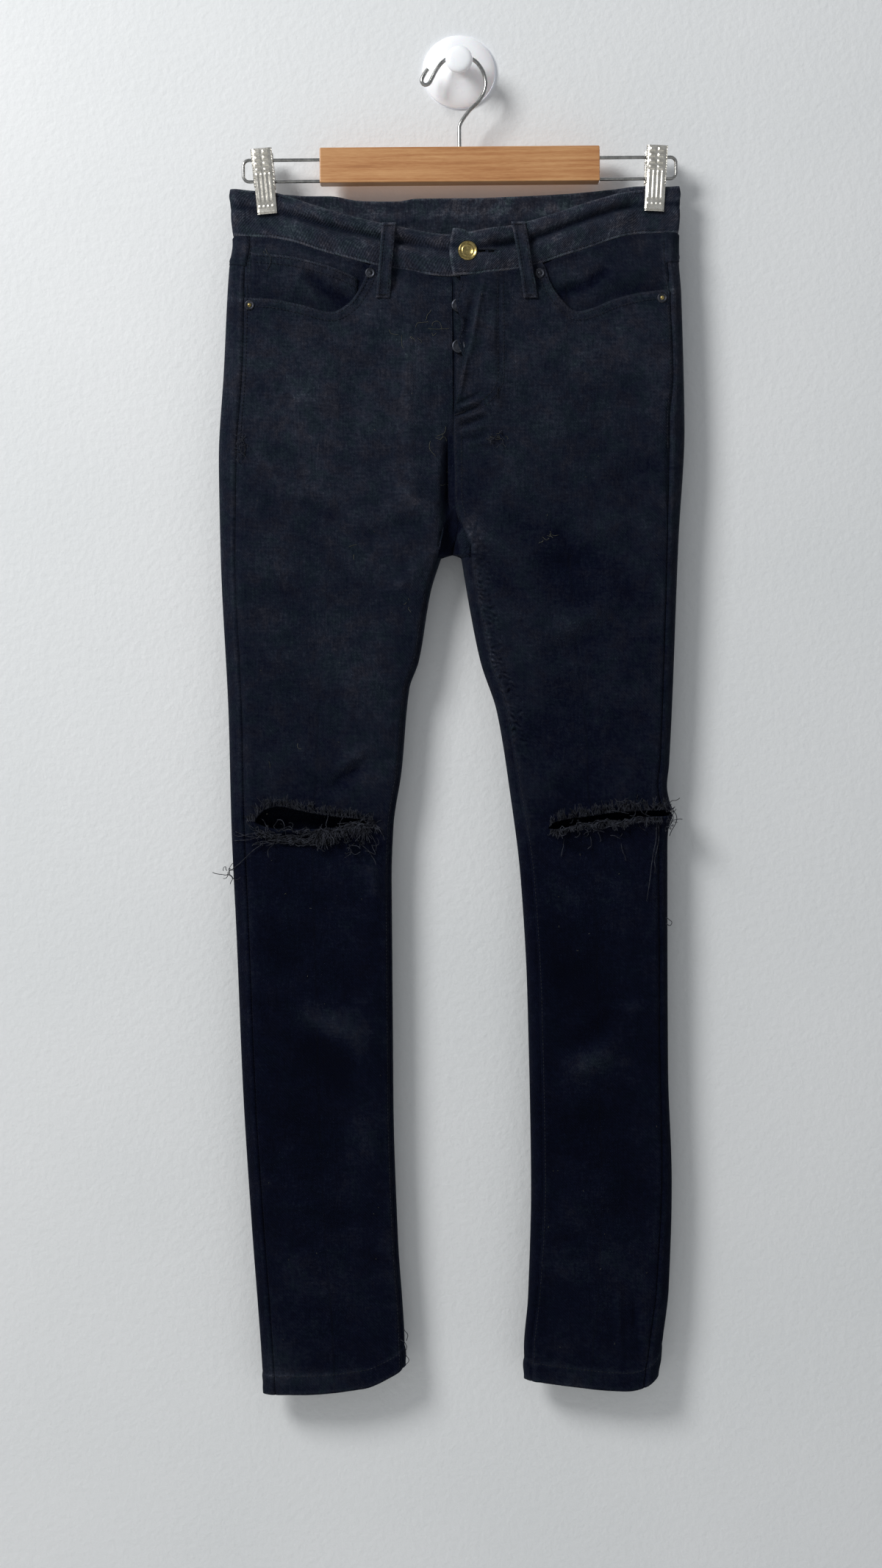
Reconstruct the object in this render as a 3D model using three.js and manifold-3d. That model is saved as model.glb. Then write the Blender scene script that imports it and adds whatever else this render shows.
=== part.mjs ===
// Ripped stretch-denim jeans, hung flat from a wooden clip hanger on an adhesive wall peg.
// Millimetres, +Z up. The wall is the plane Y = 0 and the garment's front faces -Y.
// The origin is the centre of the wall peg's flat back. "Right" and "left" are the wearer's,
// so the right leg lies at -X.

import * as THREE from 'three';
import { mergeVertices } from 'three/addons/utils/BufferGeometryUtils.js';
import Module from 'manifold-3d';

const wasm = await Module();
wasm.setup();

// Driving dimensions

const MID = -24;            // Y of the plane in which hook, hanger and garment hang
const GAP = 0.3;            // clearance between neighbouring pieces
const SEAM = 0.5;           // clearance along a curved seam, whose straight steps differ
const DENIM = 1.5;          // one layer of stretch denim with its folds
const BAND = 2.8;           // folded waistband
const HEM = 3;              // turned-up hem
const HEM_LINE = -1156;     // level of the hem stitching
const HEM_LEVEL = -1173;    // lowest point of the hems
const FOLD = 13;            // how far a folded edge rounds in across a panel
const CROTCH = -434;        // lowest point of the saddle
const WAIST_LEVEL = -152;   // lower edge of the waistband at the sides
const YOKE_LEVEL = -176;    // yoke seam at the sides
const FLY_END = -312;       // foot of the fly opening
const FLY_RISE = 4.4;       // how far the fly stands over the buttons beneath it
const TAB_END = -6.5;       // free end of the waistband's tab
const UNDERLAP_END = 24;    // end of the waistband beneath the tab
const CLIP_X = { right: -173, left: 173 };
const CLIP_LEAN = { right: 5, left: 3 };
const PINCHED = 3.25;       // half the garment's depth between the clips' jaws
const CLOSES_FROM = -395;   // level at which the seat starts to close between the legs

// Where the clips pinch the waist: full over `flat` each side of a clip, gone at `reach`
const GRIP = { inset: 2, flat: 13, reach: 36, loose: -165, tight: -136 };
// The fly's raised stretch, in X from the centre seam to its stitched edge
const FLY_FORM = { edge: -12, full: -7, falls: 24, gone: 46, foot: FLY_END - 14, head: FLY_END + 20 };
// The trough beside the centre seam, over the crotch
const TROUGH = { depth: 5, x: -14, reach: 7, starts: -320, full: -390, fades: -415, ends: -445 };

const BAR = { width: 247, height: 31, depth: 14, top: -75, edge: 0.8, corner: 0.6 };
const RODS = { upper: -84, lower: -103, end: 191.2, radius: 1.5, socket: 16, bend: 5 };
const HOOK_RADIUS = 1.75;
const PEG_NECK = 4.5;

const SIGN = { right: -1, left: 1 };

// Curves

function lerp(from, to, share) {
  return from + (to - from) * share;
}

function ramp(value, from, to) {
  const share = Math.min(1, Math.max(0, (value - from) / (to - from)));
  return share * share * (3 - 2 * share);
}

function plateau(value, centre, flat, reach) {
  return 1 - ramp(Math.abs(value - centre), flat, reach);
}

function bell(value, centre, reach) {
  return Math.exp(-(((value - centre) / reach) ** 2));
}

// A smooth curve through [position, value] pairs that never overshoots them.
function through(pairs) {
  const points = [...pairs].sort((one, other) => one[0] - other[0]);
  const slopes = points.slice(1).map((next, i) => (next[1] - points[i][1]) / (next[0] - points[i][0]));
  const tangents = points.map((_, i) => {
    const before = slopes[Math.max(0, i - 1)];
    const after = slopes[Math.min(slopes.length - 1, i)];
    return before * after > 0 ? (2 * before * after) / (before + after) : 0;
  });
  return (position) => {
    const last = points.length - 1;
    if (position <= points[0][0]) return points[0][1];
    if (position >= points[last][0]) return points[last][1];
    const i = points.findIndex((point) => point[0] > position) - 1;
    const span = points[i + 1][0] - points[i][0];
    const t = (position - points[i][0]) / span;
    const start = (1 + 2 * t) * (1 - t) ** 2 * points[i][1] + t * (1 - t) ** 2 * span * tangents[i];
    const end = t * t * (3 - 2 * t) * points[i + 1][1] + t * t * (t - 1) * span * tangents[i + 1];
    return start + end;
  };
}

// Outline of the hung garment: X of each edge at a level Z

const OUTER = {
  right: through([
    [-110, -204], [-158, -201], [-180, -204.5], [-271, -210], [-351, -215], [-434, -214],
    [-580, -208], [-668, -206.5], [-772, -202.5], [-904, -198], [-1028, -191], [-1115, -185],
    [-1173, -181.5],
  ]),
  left: through([
    [-110, 195], [-172, 193], [-205, 195], [-321, 197], [-421, 191], [-621, 181], [-640, 179],
    [-659, 181.5], [-691, 179], [-890, 178], [-985, 180.5], [-1084, 177], [-1124, 172], [-1165, 166],
  ]),
};

const LEG_INNER = {
  right: through([
    [-434, -18], [-467, -28.5], [-528, -39.5], [-552, -48], [-625, -55.5], [-673, -63],
    [-723, -65], [-913, -65], [-1036, -62], [-1122, -57], [-1150, -56.5],
  ]),
  left: through([
    [-434, -2], [-489, 7], [-529, 15], [-573, 29], [-644, 40], [-722, 49], [-823, 54],
    [-984, 56], [-1090, 52.5], [-1137, 48.5], [-1162, 49],
  ]),
};

const CENTRE = through([[-110, -5], [-190, -7.5], [-385, -7.5], [-406, -4], [-434, -9]]);

// How far the side seam lies in from the outer edge, on the front
const SIDE_SEAM = {
  right: through([[-153, 14], [-280, 17.5], [-351, 16.5], [-462, 13.5], [-800, 12], [-1173, 11]]),
  left: through([[-153, 12], [-271, 10.5], [-321, 14], [-465, 10], [-673, 8.5], [-874, 7.5], [-1100, 12]]),
};

// How far the front panel's inner edge lies from the centre line, or from the leg's inner edge
const FRONT_EDGE = {
  right: through([[-153, 0.15], [-406, 0.15], [-434, 11.5], [-441, 2.5], [-1173, 2.5]]),
  left: through([
    [-190, 3.8], [-230, 6.1], [-312, 0.15], [-406, 0.15], [-434, 10], [-441, 3], [-600, 6],
    [-724, 9.5], [-984, 10], [-1130, 6.5],
  ]),
};

// Waistband edges: level Z at a position X
const BAND_TOP = {
  front: through([
    [-204, -110], [-165, -113], [-134, -124], [-95, -136], [-56, -145], [-7, -153], [28, -148],
    [59, -142], [117, -124], [162, -113], [195, -110],
  ]),
  back: through([[-204, -110], [-162, -113], [-60, -118], [90, -114], [165, -109], [195, -110]]),
};

const BAND_BOTTOM = {
  front: through([
    [-204, -152], [-168, -154], [-111, -170], [-58, -183], [-8, -190], [50, -184], [102, -169],
    [160, -153], [195, -152],
  ]),
  back: through([[-204, -152], [-120, -156], [-5, -160], [110, -156], [195, -152]]),
};

const YOKE_SEAM = through([[-204, -176], [-120, -194], [-5, -216], [110, -194], [195, -176]]);

const HEM_EDGE = {
  right: through([[-182, -1173], [-152, -1173], [-94, -1168.5], [-68, -1158], [-57, -1150]]),
  left: through([[50, -1162], [93, -1168], [141, -1172.5], [153, -1170], [166, -1161], [172, -1148]]),
};

// The hung form

const BULGE = through([
  [-110, 8.5], [-200, 10], [-300, 11], [-434, 12], [-520, 11], [-660, 9.5], [-850, 10], [-1173, 8.5],
]);

function halfDepth(x, z) {
  const nearClip = (at) => plateau(x, at, GRIP.flat, GRIP.reach);
  const grip = nearClip(CLIP_X.right + GRIP.inset) + nearClip(CLIP_X.left - GRIP.inset);
  return lerp(BULGE(z), PINCHED, grip * ramp(z, GRIP.loose, GRIP.tight));
}

function closing(z) {
  return ramp(-z, -CLOSES_FROM, -CROTCH);
}

function innerEdge(side, z) {
  return z > CROTCH - 0.5 ? CENTRE(z) : LEG_INNER[side](z);
}

// The front's own relief: the fly stands proud, and a trough runs down the centre seam.
function relief(x, z) {
  const widthShare = ramp(x, FLY_FORM.edge, FLY_FORM.full) * ramp(-x, -FLY_FORM.gone, -FLY_FORM.falls);
  const fly = FLY_RISE * widthShare * ramp(z, FLY_FORM.foot, FLY_FORM.head);
  const deepened = ramp(-z, -TROUGH.starts, -TROUGH.full) * ramp(z, TROUGH.ends, TROUGH.fades);
  const trough = TROUGH.depth * bell(x, TROUGH.x, TROUGH.reach) * deepened;
  return (x > CENTRE(z) ? fly : 0) - trough;
}

// X across one side of the garment. The turn runs from 0 at the outer edge, through the fold to 1,
// across the panel to 2, and through the inner fold to 3. Lift moves the point out of the surface.
function across(side, turn, z, lift) {
  const sign = SIGN[side];
  const shut = closing(z);
  const outer = OUTER[side](z) + sign * lift;
  const inner = innerEdge(side, z) - sign * lift * shut;
  const outerFold = FOLD + lift;
  const innerFold = FOLD + lift * shut;
  if (turn < 1) return outer - sign * outerFold * (1 - Math.cos((turn * Math.PI) / 2));
  if (turn < 2) return lerp(outer - sign * outerFold, inner + sign * innerFold, turn - 1);
  return inner + sign * innerFold * (1 - Math.sin(((turn - 2) * Math.PI) / 2));
}

// Share of the full depth that is left at a turn
function roundness(turn, z) {
  if (turn < 1) return Math.sin((turn * Math.PI) / 2);
  if (turn < 2) return 1;
  return Math.sqrt(1 - closing(z) * Math.sin(((turn - 2) * Math.PI) / 2) ** 2);
}

// A point of the form. Positive turns are on the front, negative ones on the back, and a turn
// past -3 has come round the leg's inner fold to the front again.
function place(side, turn, z, lift) {
  const wrapped = turn < -3 ? turn + 6 : turn;
  const face = wrapped >= 0 ? -1 : 1;
  const reach = Math.abs(wrapped);
  const x = across(side, reach, z, lift);
  const raised = face < 0 ? relief(x, z) : 0;
  const depth = (halfDepth(x, z) + lift) * roundness(reach, z) + raised;
  return new THREE.Vector3(x, MID + face * depth, z);
}

// A point on the front (face -1) or back (face 1) at a given X and Z
function on(face, x, z, lift) {
  const side = x < CENTRE(z) ? 'right' : 'left';
  const fromOuter = Math.min(1, Math.abs(x - OUTER[side](z)) / FOLD);
  const fromInner = Math.min(1, Math.abs(x - innerEdge(side, z)) / FOLD);
  const outerShare = Math.sqrt(1 - (1 - fromOuter) ** 2);
  const innerShare = Math.sqrt(1 - closing(z) * (1 - fromInner) ** 2);
  const raised = face < 0 ? relief(x, z) : 0;
  const depth = (halfDepth(x, z) + lift) * outerShare * innerShare + raised;
  return new THREE.Vector3(x, MID + face * depth, z);
}

// Turn at a distance in from the outer edge, or from the inner edge
function turnFromOuter(side, z, distance) {
  if (distance < FOLD) return Math.acos(1 - distance / FOLD) / (Math.PI / 2);
  const flat = Math.abs(OUTER[side](z) - innerEdge(side, z)) - 2 * FOLD;
  return 1 + (distance - FOLD) / flat;
}

function turnFromInner(side, z, distance) {
  if (distance < FOLD) return 2 + Math.asin(1 - distance / FOLD) / (Math.PI / 2);
  const flat = Math.abs(OUTER[side](z) - innerEdge(side, z)) - 2 * FOLD;
  return 2 - (distance - FOLD) / flat;
}

// Solids

const Manifold = wasm.Manifold;

function closed(geometry) {
  geometry.deleteAttribute('normal');
  geometry.deleteAttribute('uv');
  const merged = mergeVertices(geometry, 1e-3);
  const position = merged.attributes.position;
  const corner = [new THREE.Vector3(), new THREE.Vector3(), new THREE.Vector3()];
  let volume = 0;
  for (let i = 0; i < merged.index.count; i += 3) {
    corner.forEach((point, k) => point.fromBufferAttribute(position, merged.index.getX(i + k)));
    volume += corner[0].dot(corner[1].cross(corner[2]));
  }
  if (volume < 0) merged.index.array.reverse();
  return merged;
}

function toManifold(geometry) {
  const merged = closed(geometry);
  const vertProperties = new Float32Array(merged.attributes.position.array);
  const triVerts = new Uint32Array(merged.index.array);
  return new Manifold(new wasm.Mesh({ numProp: 3, vertProperties, triVerts }));
}

function toGeometry(manifold) {
  const mesh = manifold.getMesh();
  const geometry = new THREE.BufferGeometry();
  geometry.setAttribute('position', new THREE.BufferAttribute(new Float32Array(mesh.vertProperties), 3));
  geometry.setIndex(new THREE.BufferAttribute(new Uint32Array(mesh.triVerts), 1));
  return geometry;
}

function cut(geometry, ...cutters) {
  return toGeometry(cutters.reduce((left, tool) => left.subtract(toManifold(tool)), toManifold(geometry)));
}

function join(geometry, ...others) {
  return toGeometry(others.reduce((sum, other) => sum.add(toManifold(other)), toManifold(geometry)));
}

// A closed wall over a grid of columns and rows. The point function takes a column value, a row
// value and 0 for the inner face or 1 for the outer one.
function wall(columns, rows, point) {
  const geometry = new THREE.BoxGeometry(1, 1, 1, columns.length - 1, rows.length - 1, 1);
  const position = geometry.attributes.position;
  for (let i = 0; i < position.count; i += 1) {
    const column = columns[Math.round((position.getX(i) + 0.5) * (columns.length - 1))];
    const row = rows[Math.round((0.5 - position.getY(i)) * (rows.length - 1))];
    const moved = point(column, row, position.getZ(i) > 0 ? 1 : 0);
    position.setXYZ(i, moved.x, moved.y, moved.z);
  }
  return closed(geometry);
}

function evenly(count, from = 0, to = 1) {
  return Array.from({ length: count + 1 }, (_, i) => lerp(from, to, i / count));
}

function tube(path, radius, sides, steps) {
  const section = new THREE.Shape(evenly(sides - 1, 0, 2 * Math.PI * (1 - 1 / sides)).map(
    (angle) => new THREE.Vector2(radius * Math.cos(angle), radius * Math.sin(angle))));
  return new THREE.ExtrudeGeometry(section, { steps, extrudePath: path, bevelEnabled: false });
}

// Looks and the group

const LOOKS = {
  denim: { color: 0x1b1c21, roughness: 0.92, metalness: 0 },
  thread: { color: 0x3b3c42, roughness: 0.95, metalness: 0 },
  brass: { color: 0xaf9b55, roughness: 0.4, metalness: 1 },
  blackened: { color: 0x2a2a2c, roughness: 0.5, metalness: 1 },
  nickel: { color: 0xc2c0ba, roughness: 0.3, metalness: 1 },
  wood: { color: 0xbe875a, roughness: 0.45, metalness: 0 },
  plastic: { color: 0xf0f0ee, roughness: 0.3, metalness: 0 },
};

const jeans = new THREE.Group();

function add(name, look, geometry) {
  const mesh = new THREE.Mesh(geometry, new THREE.MeshStandardMaterial(LOOKS[look]));
  mesh.name = name;
  jeans.add(mesh);
  return mesh;
}

// Panels

const FRONT_ROWS = [
  -152, -170, -190, -215, -245, -280, -315, -350, -380, -398, -406, -413, -422, -431, -434, -441, -475,
  -520, -570, -620, -660, -700, -760, -850, -940, -1030, -1100, HEM_LINE + 1, HEM_LINE - 1, HEM_LEVEL,
];
const BACK_ROWS = [YOKE_LEVEL, ...FRONT_ROWS.slice(2)];
// On the front, 0 is the side seam, 1 to 2 are turns, and 3 is the inner edge.
const FRONT_COLUMNS = {
  right: [0, 1.1, 1.3, 1.5, 1.7, 1.9, 2, 2.35, 2.7, 3],
  left: [0, 1.1, 1.3, 1.5, 1.7, 1.78, 1.85, 1.92, 2, 2.5, 3],
};
// On the back, -4 is the inner edge, -2 to 0.65 are turns, and 1 is the side seam.
const BACK_COLUMNS = [-4, -3.6, -3.1, -2.6, -2, -1.75, -1.5, -1.25, -1, -0.6, -0.3, 0, 0.35, 0.65, 1];
const YOKE_ROWS = [-152, -164, -176];

function centreTurn(side, z) {
  return turnFromInner(side, z, GAP / 2);
}

function backStart(side, z) {
  if (z > CROTCH) return -centreTurn(side, z);
  return turnFromInner(side, z, FRONT_EDGE[side](z) - SEAM) - 6;
}

// Levels follow the waistband or yoke seam above the first level and the hem below the second.
const FOLLOWS = { top: -330, hem: -1080 };

function settled(side, x, z, topLevel, topEdge) {
  const foot = (HEM_EDGE[side](x) - HEM_LEVEL) * ramp(-z, -FOLLOWS.hem, -HEM_LEVEL);
  const head = (topEdge(x) - SEAM - topLevel) * ramp(z, FOLLOWS.top, topLevel);
  return z + head + foot;
}

function panel(side, columns, rows, turnAt, topLevel, topEdge) {
  return wall(columns, rows, (column, row, outside) => {
    const thickness = row < HEM_LINE ? HEM : DENIM;
    const lift = outside ? 0 : -thickness;
    let level = row;
    for (let pass = 0; pass < 3; pass += 1) {
      const turn = turnAt(level, column);
      const x = across(side, Math.abs(turn < -3 ? turn + 6 : turn), level, 0);
      level = settled(side, x, row, topLevel, topEdge);
    }
    return place(side, turnAt(level, column), level, lift);
  });
}

function frontTurn(side, z, column) {
  if (column === 0) return turnFromOuter(side, z, SIDE_SEAM[side](z));
  if (column <= 2) return column;
  return lerp(2, turnFromInner(side, z, FRONT_EDGE[side](z)), column - 2);
}

function backTurn(side, z, column) {
  if (column < -2) return lerp(backStart(side, z), -2, (column + 4) / 2);
  if (column < 1) return column;
  return turnFromOuter(side, z, SIDE_SEAM[side](z) - SEAM);
}

function frontPanel(side) {
  const turnAt = (z, column) => frontTurn(side, z, column);
  return panel(side, FRONT_COLUMNS[side], FRONT_ROWS, turnAt, WAIST_LEVEL, BAND_BOTTOM.front);
}

function backPanel(side) {
  const turnAt = (z, column) => backTurn(side, z, column);
  return panel(side, BACK_COLUMNS, BACK_ROWS, turnAt, YOKE_LEVEL, YOKE_SEAM);
}

// The saddle: the back panel comes forward under the crotch, to the inseam on the front.
const SADDLE_ROWS = [-413, -422, -431, CROTCH, -441];

function saddle(side) {
  const skin = 0.1;
  return wall(evenly(3), SADDLE_ROWS, (column, row, outside) => {
    const edge = turnFromInner(side, row, FRONT_EDGE[side](row) - SEAM);
    const lift = outside ? -skin : skin - DENIM;
    return place(side, lerp(edge, centreTurn(side, row), column), row, lift);
  });
}

function yoke(side) {
  return wall(BACK_COLUMNS, YOKE_ROWS, (column, row, outside) => {
    const share = (WAIST_LEVEL - row) / (WAIST_LEVEL - YOKE_LEVEL);
    let level = row;
    for (let pass = 0; pass < 3; pass += 1) {
      const turn = backTurn(side, level, column);
      const x = across(side, Math.abs(turn), level, 0);
      const top = turn > 0 ? BAND_BOTTOM.front(x) : BAND_BOTTOM.back(x);
      level = lerp(top - SEAM, YOKE_SEAM(x), share);
    }
    return place(side, backTurn(side, level, column), level, outside ? 0 : -DENIM);
  });
}

// Front pocket mouths and knee rips, as outlines in X and Z

const POCKET_MOUTH = {
  right: [[-79, -178], [-88, -198], [-99, -213], [-114, -220.5], [-141, -214], [-169, -208.5], [-205, -206]],
  left: [
    [73, -178], [79.5, -197.5], [90, -212.5], [102, -222], [117, -218.5], [132, -212], [161, -205],
    [200, -202],
  ],
};

const RIP_UPPER = {
  right: through([[-186, -662], [-174, -655], [-126, -661], [-94, -666], [-86, -672]]),
  left: through([[76, -675], [102, -669], [139, -664.5], [157, -662], [190, -661]]),
};
const RIP_LOWER = {
  right: through([[-186, -668], [-160, -674.5], [-126, -677], [-96, -679], [-86, -675]]),
  left: through([[76, -677], [93, -680], [119, -677], [141, -674], [168, -671], [190, -669]]),
};
const RIP_SPAN = { right: [-186, -86], left: [76, 190] };

// The cutter runs out past the side seam and up past the waistband seam.
const POCKET_CUT = { far: 212, foot: -206, top: -140, depth: 40 };

function pocketCutter(side) {
  const far = SIGN[side] * POCKET_CUT.far;
  const near = POCKET_MOUTH[side][0][0];
  const mouth = new THREE.SplineCurve(POCKET_MOUTH[side].map(([x, z]) => new THREE.Vector2(x, z)));
  const outline = [
    ...mouth.getPoints(14),
    new THREE.Vector2(far, POCKET_CUT.foot),
    new THREE.Vector2(far, POCKET_CUT.top),
    new THREE.Vector2(near, POCKET_CUT.top),
  ];
  const shape = new THREE.Shape(outline);
  const geometry = new THREE.ExtrudeGeometry(shape, { depth: POCKET_CUT.depth, bevelEnabled: false });
  geometry.rotateX(Math.PI / 2);
  geometry.translate(0, MID, 0);
  return geometry;
}

// The cutter takes the front wall only, from just before the middle plane.
const RIP_CUT = { near: MID - 40, far: MID - 0.5 };

function ripCutter(side) {
  const [from, to] = RIP_SPAN[side];
  return wall(evenly(9, from, to), [0, 1], (x, row, outside) => {
    const level = row === 0 ? RIP_UPPER[side](x) : RIP_LOWER[side](x);
    return new THREE.Vector3(x, outside ? RIP_CUT.near : RIP_CUT.far, level);
  });
}

function addPanels() {
  add('right_front', 'denim', cut(frontPanel('right'), pocketCutter('right'), ripCutter('right')));
  add('left_front', 'denim', cut(frontPanel('left'), pocketCutter('left'), ripCutter('left')));
  add('right_back', 'denim', join(backPanel('right'), saddle('right')));
  add('left_back', 'denim', cut(join(backPanel('left'), saddle('left')), ripCutter('left')));
  add('right_yoke', 'denim', yoke('right'));
  add('left_yoke', 'denim', yoke('left'));
}

// Waistband: one strip from beneath the tab, round by the right side and the back, to the tab's end

const BUTTONHOLE = { from: 7, to: 32, level: -169, height: 2.2, depth: 5, y: MID - 13.1 };

function bandPoint(side, turn, share, lift) {
  const face = turn >= 0 ? 'front' : 'back';
  let level = WAIST_LEVEL;
  for (let pass = 0; pass < 3; pass += 1) {
    const x = across(side, Math.abs(turn), level, 0);
    level = lerp(BAND_TOP[face](x), BAND_BOTTOM[face](x), share);
  }
  return place(side, turn, level, lift);
}

// Turns from the centre front, round a side, to the centre back; closer where the clips pinch
const BAND_TURNS = [
  2.6, 2.2, 2, 1.93, 1.85, 1.78, 1.68, 1.54, 1.4, 1.3, 1.19, 1.1, 1.03, 1, 0.6, 0.3, 0, -0.3, -0.6, -1,
  -1.03, -1.1, -1.19, -1.3, -1.4, -1.7, -2, -2.8,
];

function waistband() {
  const underlap = [UNDERLAP_END, 10, -3].map((x) => ({ x, stand: 0 }));
  const tab = [0, TAB_END].map((x) => ({ x, stand: FLY_RISE }));
  const stations = [
    ...underlap,
    ...BAND_TURNS.map((turn) => ({ side: 'right', turn })),
    ...BAND_TURNS.slice(2).reverse().map((turn) => ({ side: 'left', turn })),
    ...tab,
  ];
  const ring = wall([...stations.keys()], [0, 0.3, 0.6, 1], (index, share, outside) => {
    const { side, turn, x, stand } = stations[index];
    const lift = outside ? 0 : -BAND;
    if (side) return bandPoint(side, turn, share, lift);
    const level = lerp(BAND_TOP.front(x), BAND_BOTTOM.front(x), share);
    return new THREE.Vector3(x, MID - halfDepth(x, level) - lift - stand, level);
  });
  const slit = new THREE.BoxGeometry(BUTTONHOLE.to - BUTTONHOLE.from, BUTTONHOLE.depth, BUTTONHOLE.height);
  slit.translate((BUTTONHOLE.from + BUTTONHOLE.to) / 2, BUTTONHOLE.y, BUTTONHOLE.level);
  return cut(ring, slit);
}

// A belt loop stands off the band, and its two ends lie on the cloth.
const LOOP = { width: 13, thickness: 2, stand: 5.2 };
const BELT_LOOPS = {
  belt_loop_right_front: { face: -1, top: [-62.5, -142.5], foot: [-68.5, -209] },
  belt_loop_left_front: { face: -1, top: [51, -142.5], foot: [61.5, -210] },
  belt_loop_right_back: { face: 1, top: [-128, -117.5], foot: [-128, -182] },
  belt_loop_left_back: { face: 1, top: [118, -116], foot: [118, -182] },
  belt_loop_centre_back: { face: 1, top: [-5, -120], foot: [-6, -186] },
};

function beltLoop({ face, top, foot }) {
  const high = LOOP.stand;
  const stand = through([[0, GAP], [0.08, GAP], [0.16, high], [0.78, high], [0.9, GAP], [1, GAP]]);
  return wall([-0.5, 0.5], [0, 0.08, 0.16, 0.35, 0.6, 0.78, 0.9, 1], (column, row, outside) => {
    const x = lerp(top[0], foot[0], row) + column * LOOP.width;
    const z = lerp(top[1], foot[1], row);
    return on(face, x, z, stand(row) + outside * LOOP.thickness);
  });
}

function addWaist() {
  add('waistband', 'denim', waistband());
  Object.entries(BELT_LOOPS).forEach(([name, loop]) => add(name, 'denim', beltLoop(loop)));
}

// Pockets

// The facing starts level with the front at the waistband and sinks behind the pocket mouth.
const FACING = { thickness: 1.3, sunk: 3.3, top: -156, foot: -246, near: { right: -72, left: 66 }, seam: 1 };
// The level by which it is sunk, and the X between which it sinks towards the mouth's inner end
const SINKS = { level: -200, start: 4, right: [-100, -84], left: [94, 79] };

function facingLift(x, z) {
  const below = ramp(-z, SINKS.start - BAND_BOTTOM.front(x), -SINKS.level);
  const behind = x < CENTRE(z) ? ramp(x, ...SINKS.right) : ramp(x, ...SINKS.left);
  return -FACING.sunk * Math.max(below, behind);
}

function facing(side) {
  const seam = (z) => OUTER[side](z) - SIGN[side] * (SIDE_SEAM[side](z) + FACING.seam);
  return wall(evenly(6), evenly(6), (column, row, outside) => {
    const level = lerp(FACING.top, FACING.foot, row);
    const x = lerp(seam(level), FACING.near[side], column);
    const z = lerp(BAND_BOTTOM.front(x) - 2 * SEAM, FACING.foot, row);
    return on(-1, x, z, facingLift(x, z) - (outside ? 0 : FACING.thickness));
  });
}

const COIN_TOP = through([[-184, -168], [-151, -171.5], [-119, -179.5], [-91, -191]]);
const COIN_POCKET = { span: [-184, -91], foot: -236, thickness: 1.2 };

function coinPocket() {
  return wall(evenly(5, ...COIN_POCKET.span), evenly(5), (x, row, outside) => {
    const z = lerp(COIN_TOP(x), COIN_POCKET.foot, row);
    return on(-1, x, z, facingLift(x, z) + GAP + outside * COIN_POCKET.thickness);
  });
}

const PATCH = { width: 140, height: 150, point: 18, thickness: 1.4, top: -232, tilt: 3, foot: 0.9 };
const PATCH_CENTRE = { right: -104, left: 94 };

function patchPocket(side) {
  const tilt = THREE.MathUtils.degToRad(PATCH.tilt) * SIGN[side];
  return wall([-1, -0.5, 0, 0.5, 1], evenly(5), (column, row, outside) => {
    const foot = PATCH.height - PATCH.point * Math.abs(column);
    const u = (column * PATCH.width * lerp(1, PATCH.foot, row)) / 2;
    const v = -foot * row;
    const x = PATCH_CENTRE[side] + u * Math.cos(tilt) - v * Math.sin(tilt);
    const z = PATCH.top + u * Math.sin(tilt) + v * Math.cos(tilt);
    return on(1, x, z, GAP + outside * PATCH.thickness);
  });
}

function addPockets() {
  add('right_pocket_facing', 'denim', facing('right'));
  add('left_pocket_facing', 'denim', facing('left'));
  add('coin_pocket', 'denim', coinPocket());
  add('right_back_pocket', 'denim', patchPocket('right'));
  add('left_back_pocket', 'denim', patchPocket('left'));
}

// Fly

const SHIELD = { span: [-14, 31], foot: -306 };

function flyShield() {
  return wall(evenly(4, ...SHIELD.span), evenly(5), (x, row, outside) => {
    const z = lerp(BAND_BOTTOM.front(x) - GAP, SHIELD.foot, row);
    const flat = MID - halfDepth(x, z);
    return new THREE.Vector3(x, flat + DENIM + GAP + (outside ? 0 : DENIM), z);
  });
}

// A turned piece whose axis is along Y. The profile holds [radius, height towards the viewer].
function turned(profile, x, y, z, sides) {
  const geometry = new THREE.LatheGeometry(profile.map(([r, h]) => new THREE.Vector2(r, h)), sides);
  geometry.rotateX(Math.PI);
  geometry.translate(x, y, z);
  return closed(geometry);
}

const FLY_BUTTONS = [[-2.4, -216], [-2.2, -252]];
const WAIST_BUTTON = { x: 6.3, z: -169, radius: 8.5 };

function flyButton([x, z]) {
  const foot = MID - halfDepth(x, z) + DENIM;
  return turned([[0, 0], [2.4, 0], [2.4, 1.8], [6, 1.8], [6, 3.3], [5, 3.9], [0, 3.9]], x, foot, z, 16);
}

function waistButton() {
  const { x, z, radius } = WAIST_BUTTON;
  const foot = MID - halfDepth(x, z) - FLY_RISE - GAP;
  const profile = [[0, 0], [radius - 1, 0], [radius, 0.8], [radius, 2], [radius - 1.2, 3], [0, 2.6]];
  return turned(profile, x, foot, z, 24);
}

const RIVETS = {
  rivet_right_upper: { x: -79.6, z: -186.5, look: 'blackened' },
  rivet_right_lower: { x: -186, z: -214, look: 'brass' },
  rivet_left_upper: { x: 69.5, z: -188, look: 'blackened' },
  rivet_left_lower: { x: 177, z: -210.7, look: 'brass' },
};

function rivet({ x, z }) {
  const foot = on(-1, x, z, GAP).y;
  return turned([[0, 0], [4.4, 0], [4.4, 0.6], [3, 1.3], [0, 1.6]], x, foot, z, 12);
}

function addFly() {
  add('fly_shield', 'denim', flyShield());
  FLY_BUTTONS.forEach((place, i) => add(`fly_button_${i + 1}`, 'blackened', flyButton(place)));
  add('waist_button', 'brass', waistButton());
  Object.entries(RIVETS).forEach(([name, spot]) => add(name, spot.look, rivet(spot)));
}

// Frayed edges of the knee rips, each as a plain strip of the fringe's reach

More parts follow.
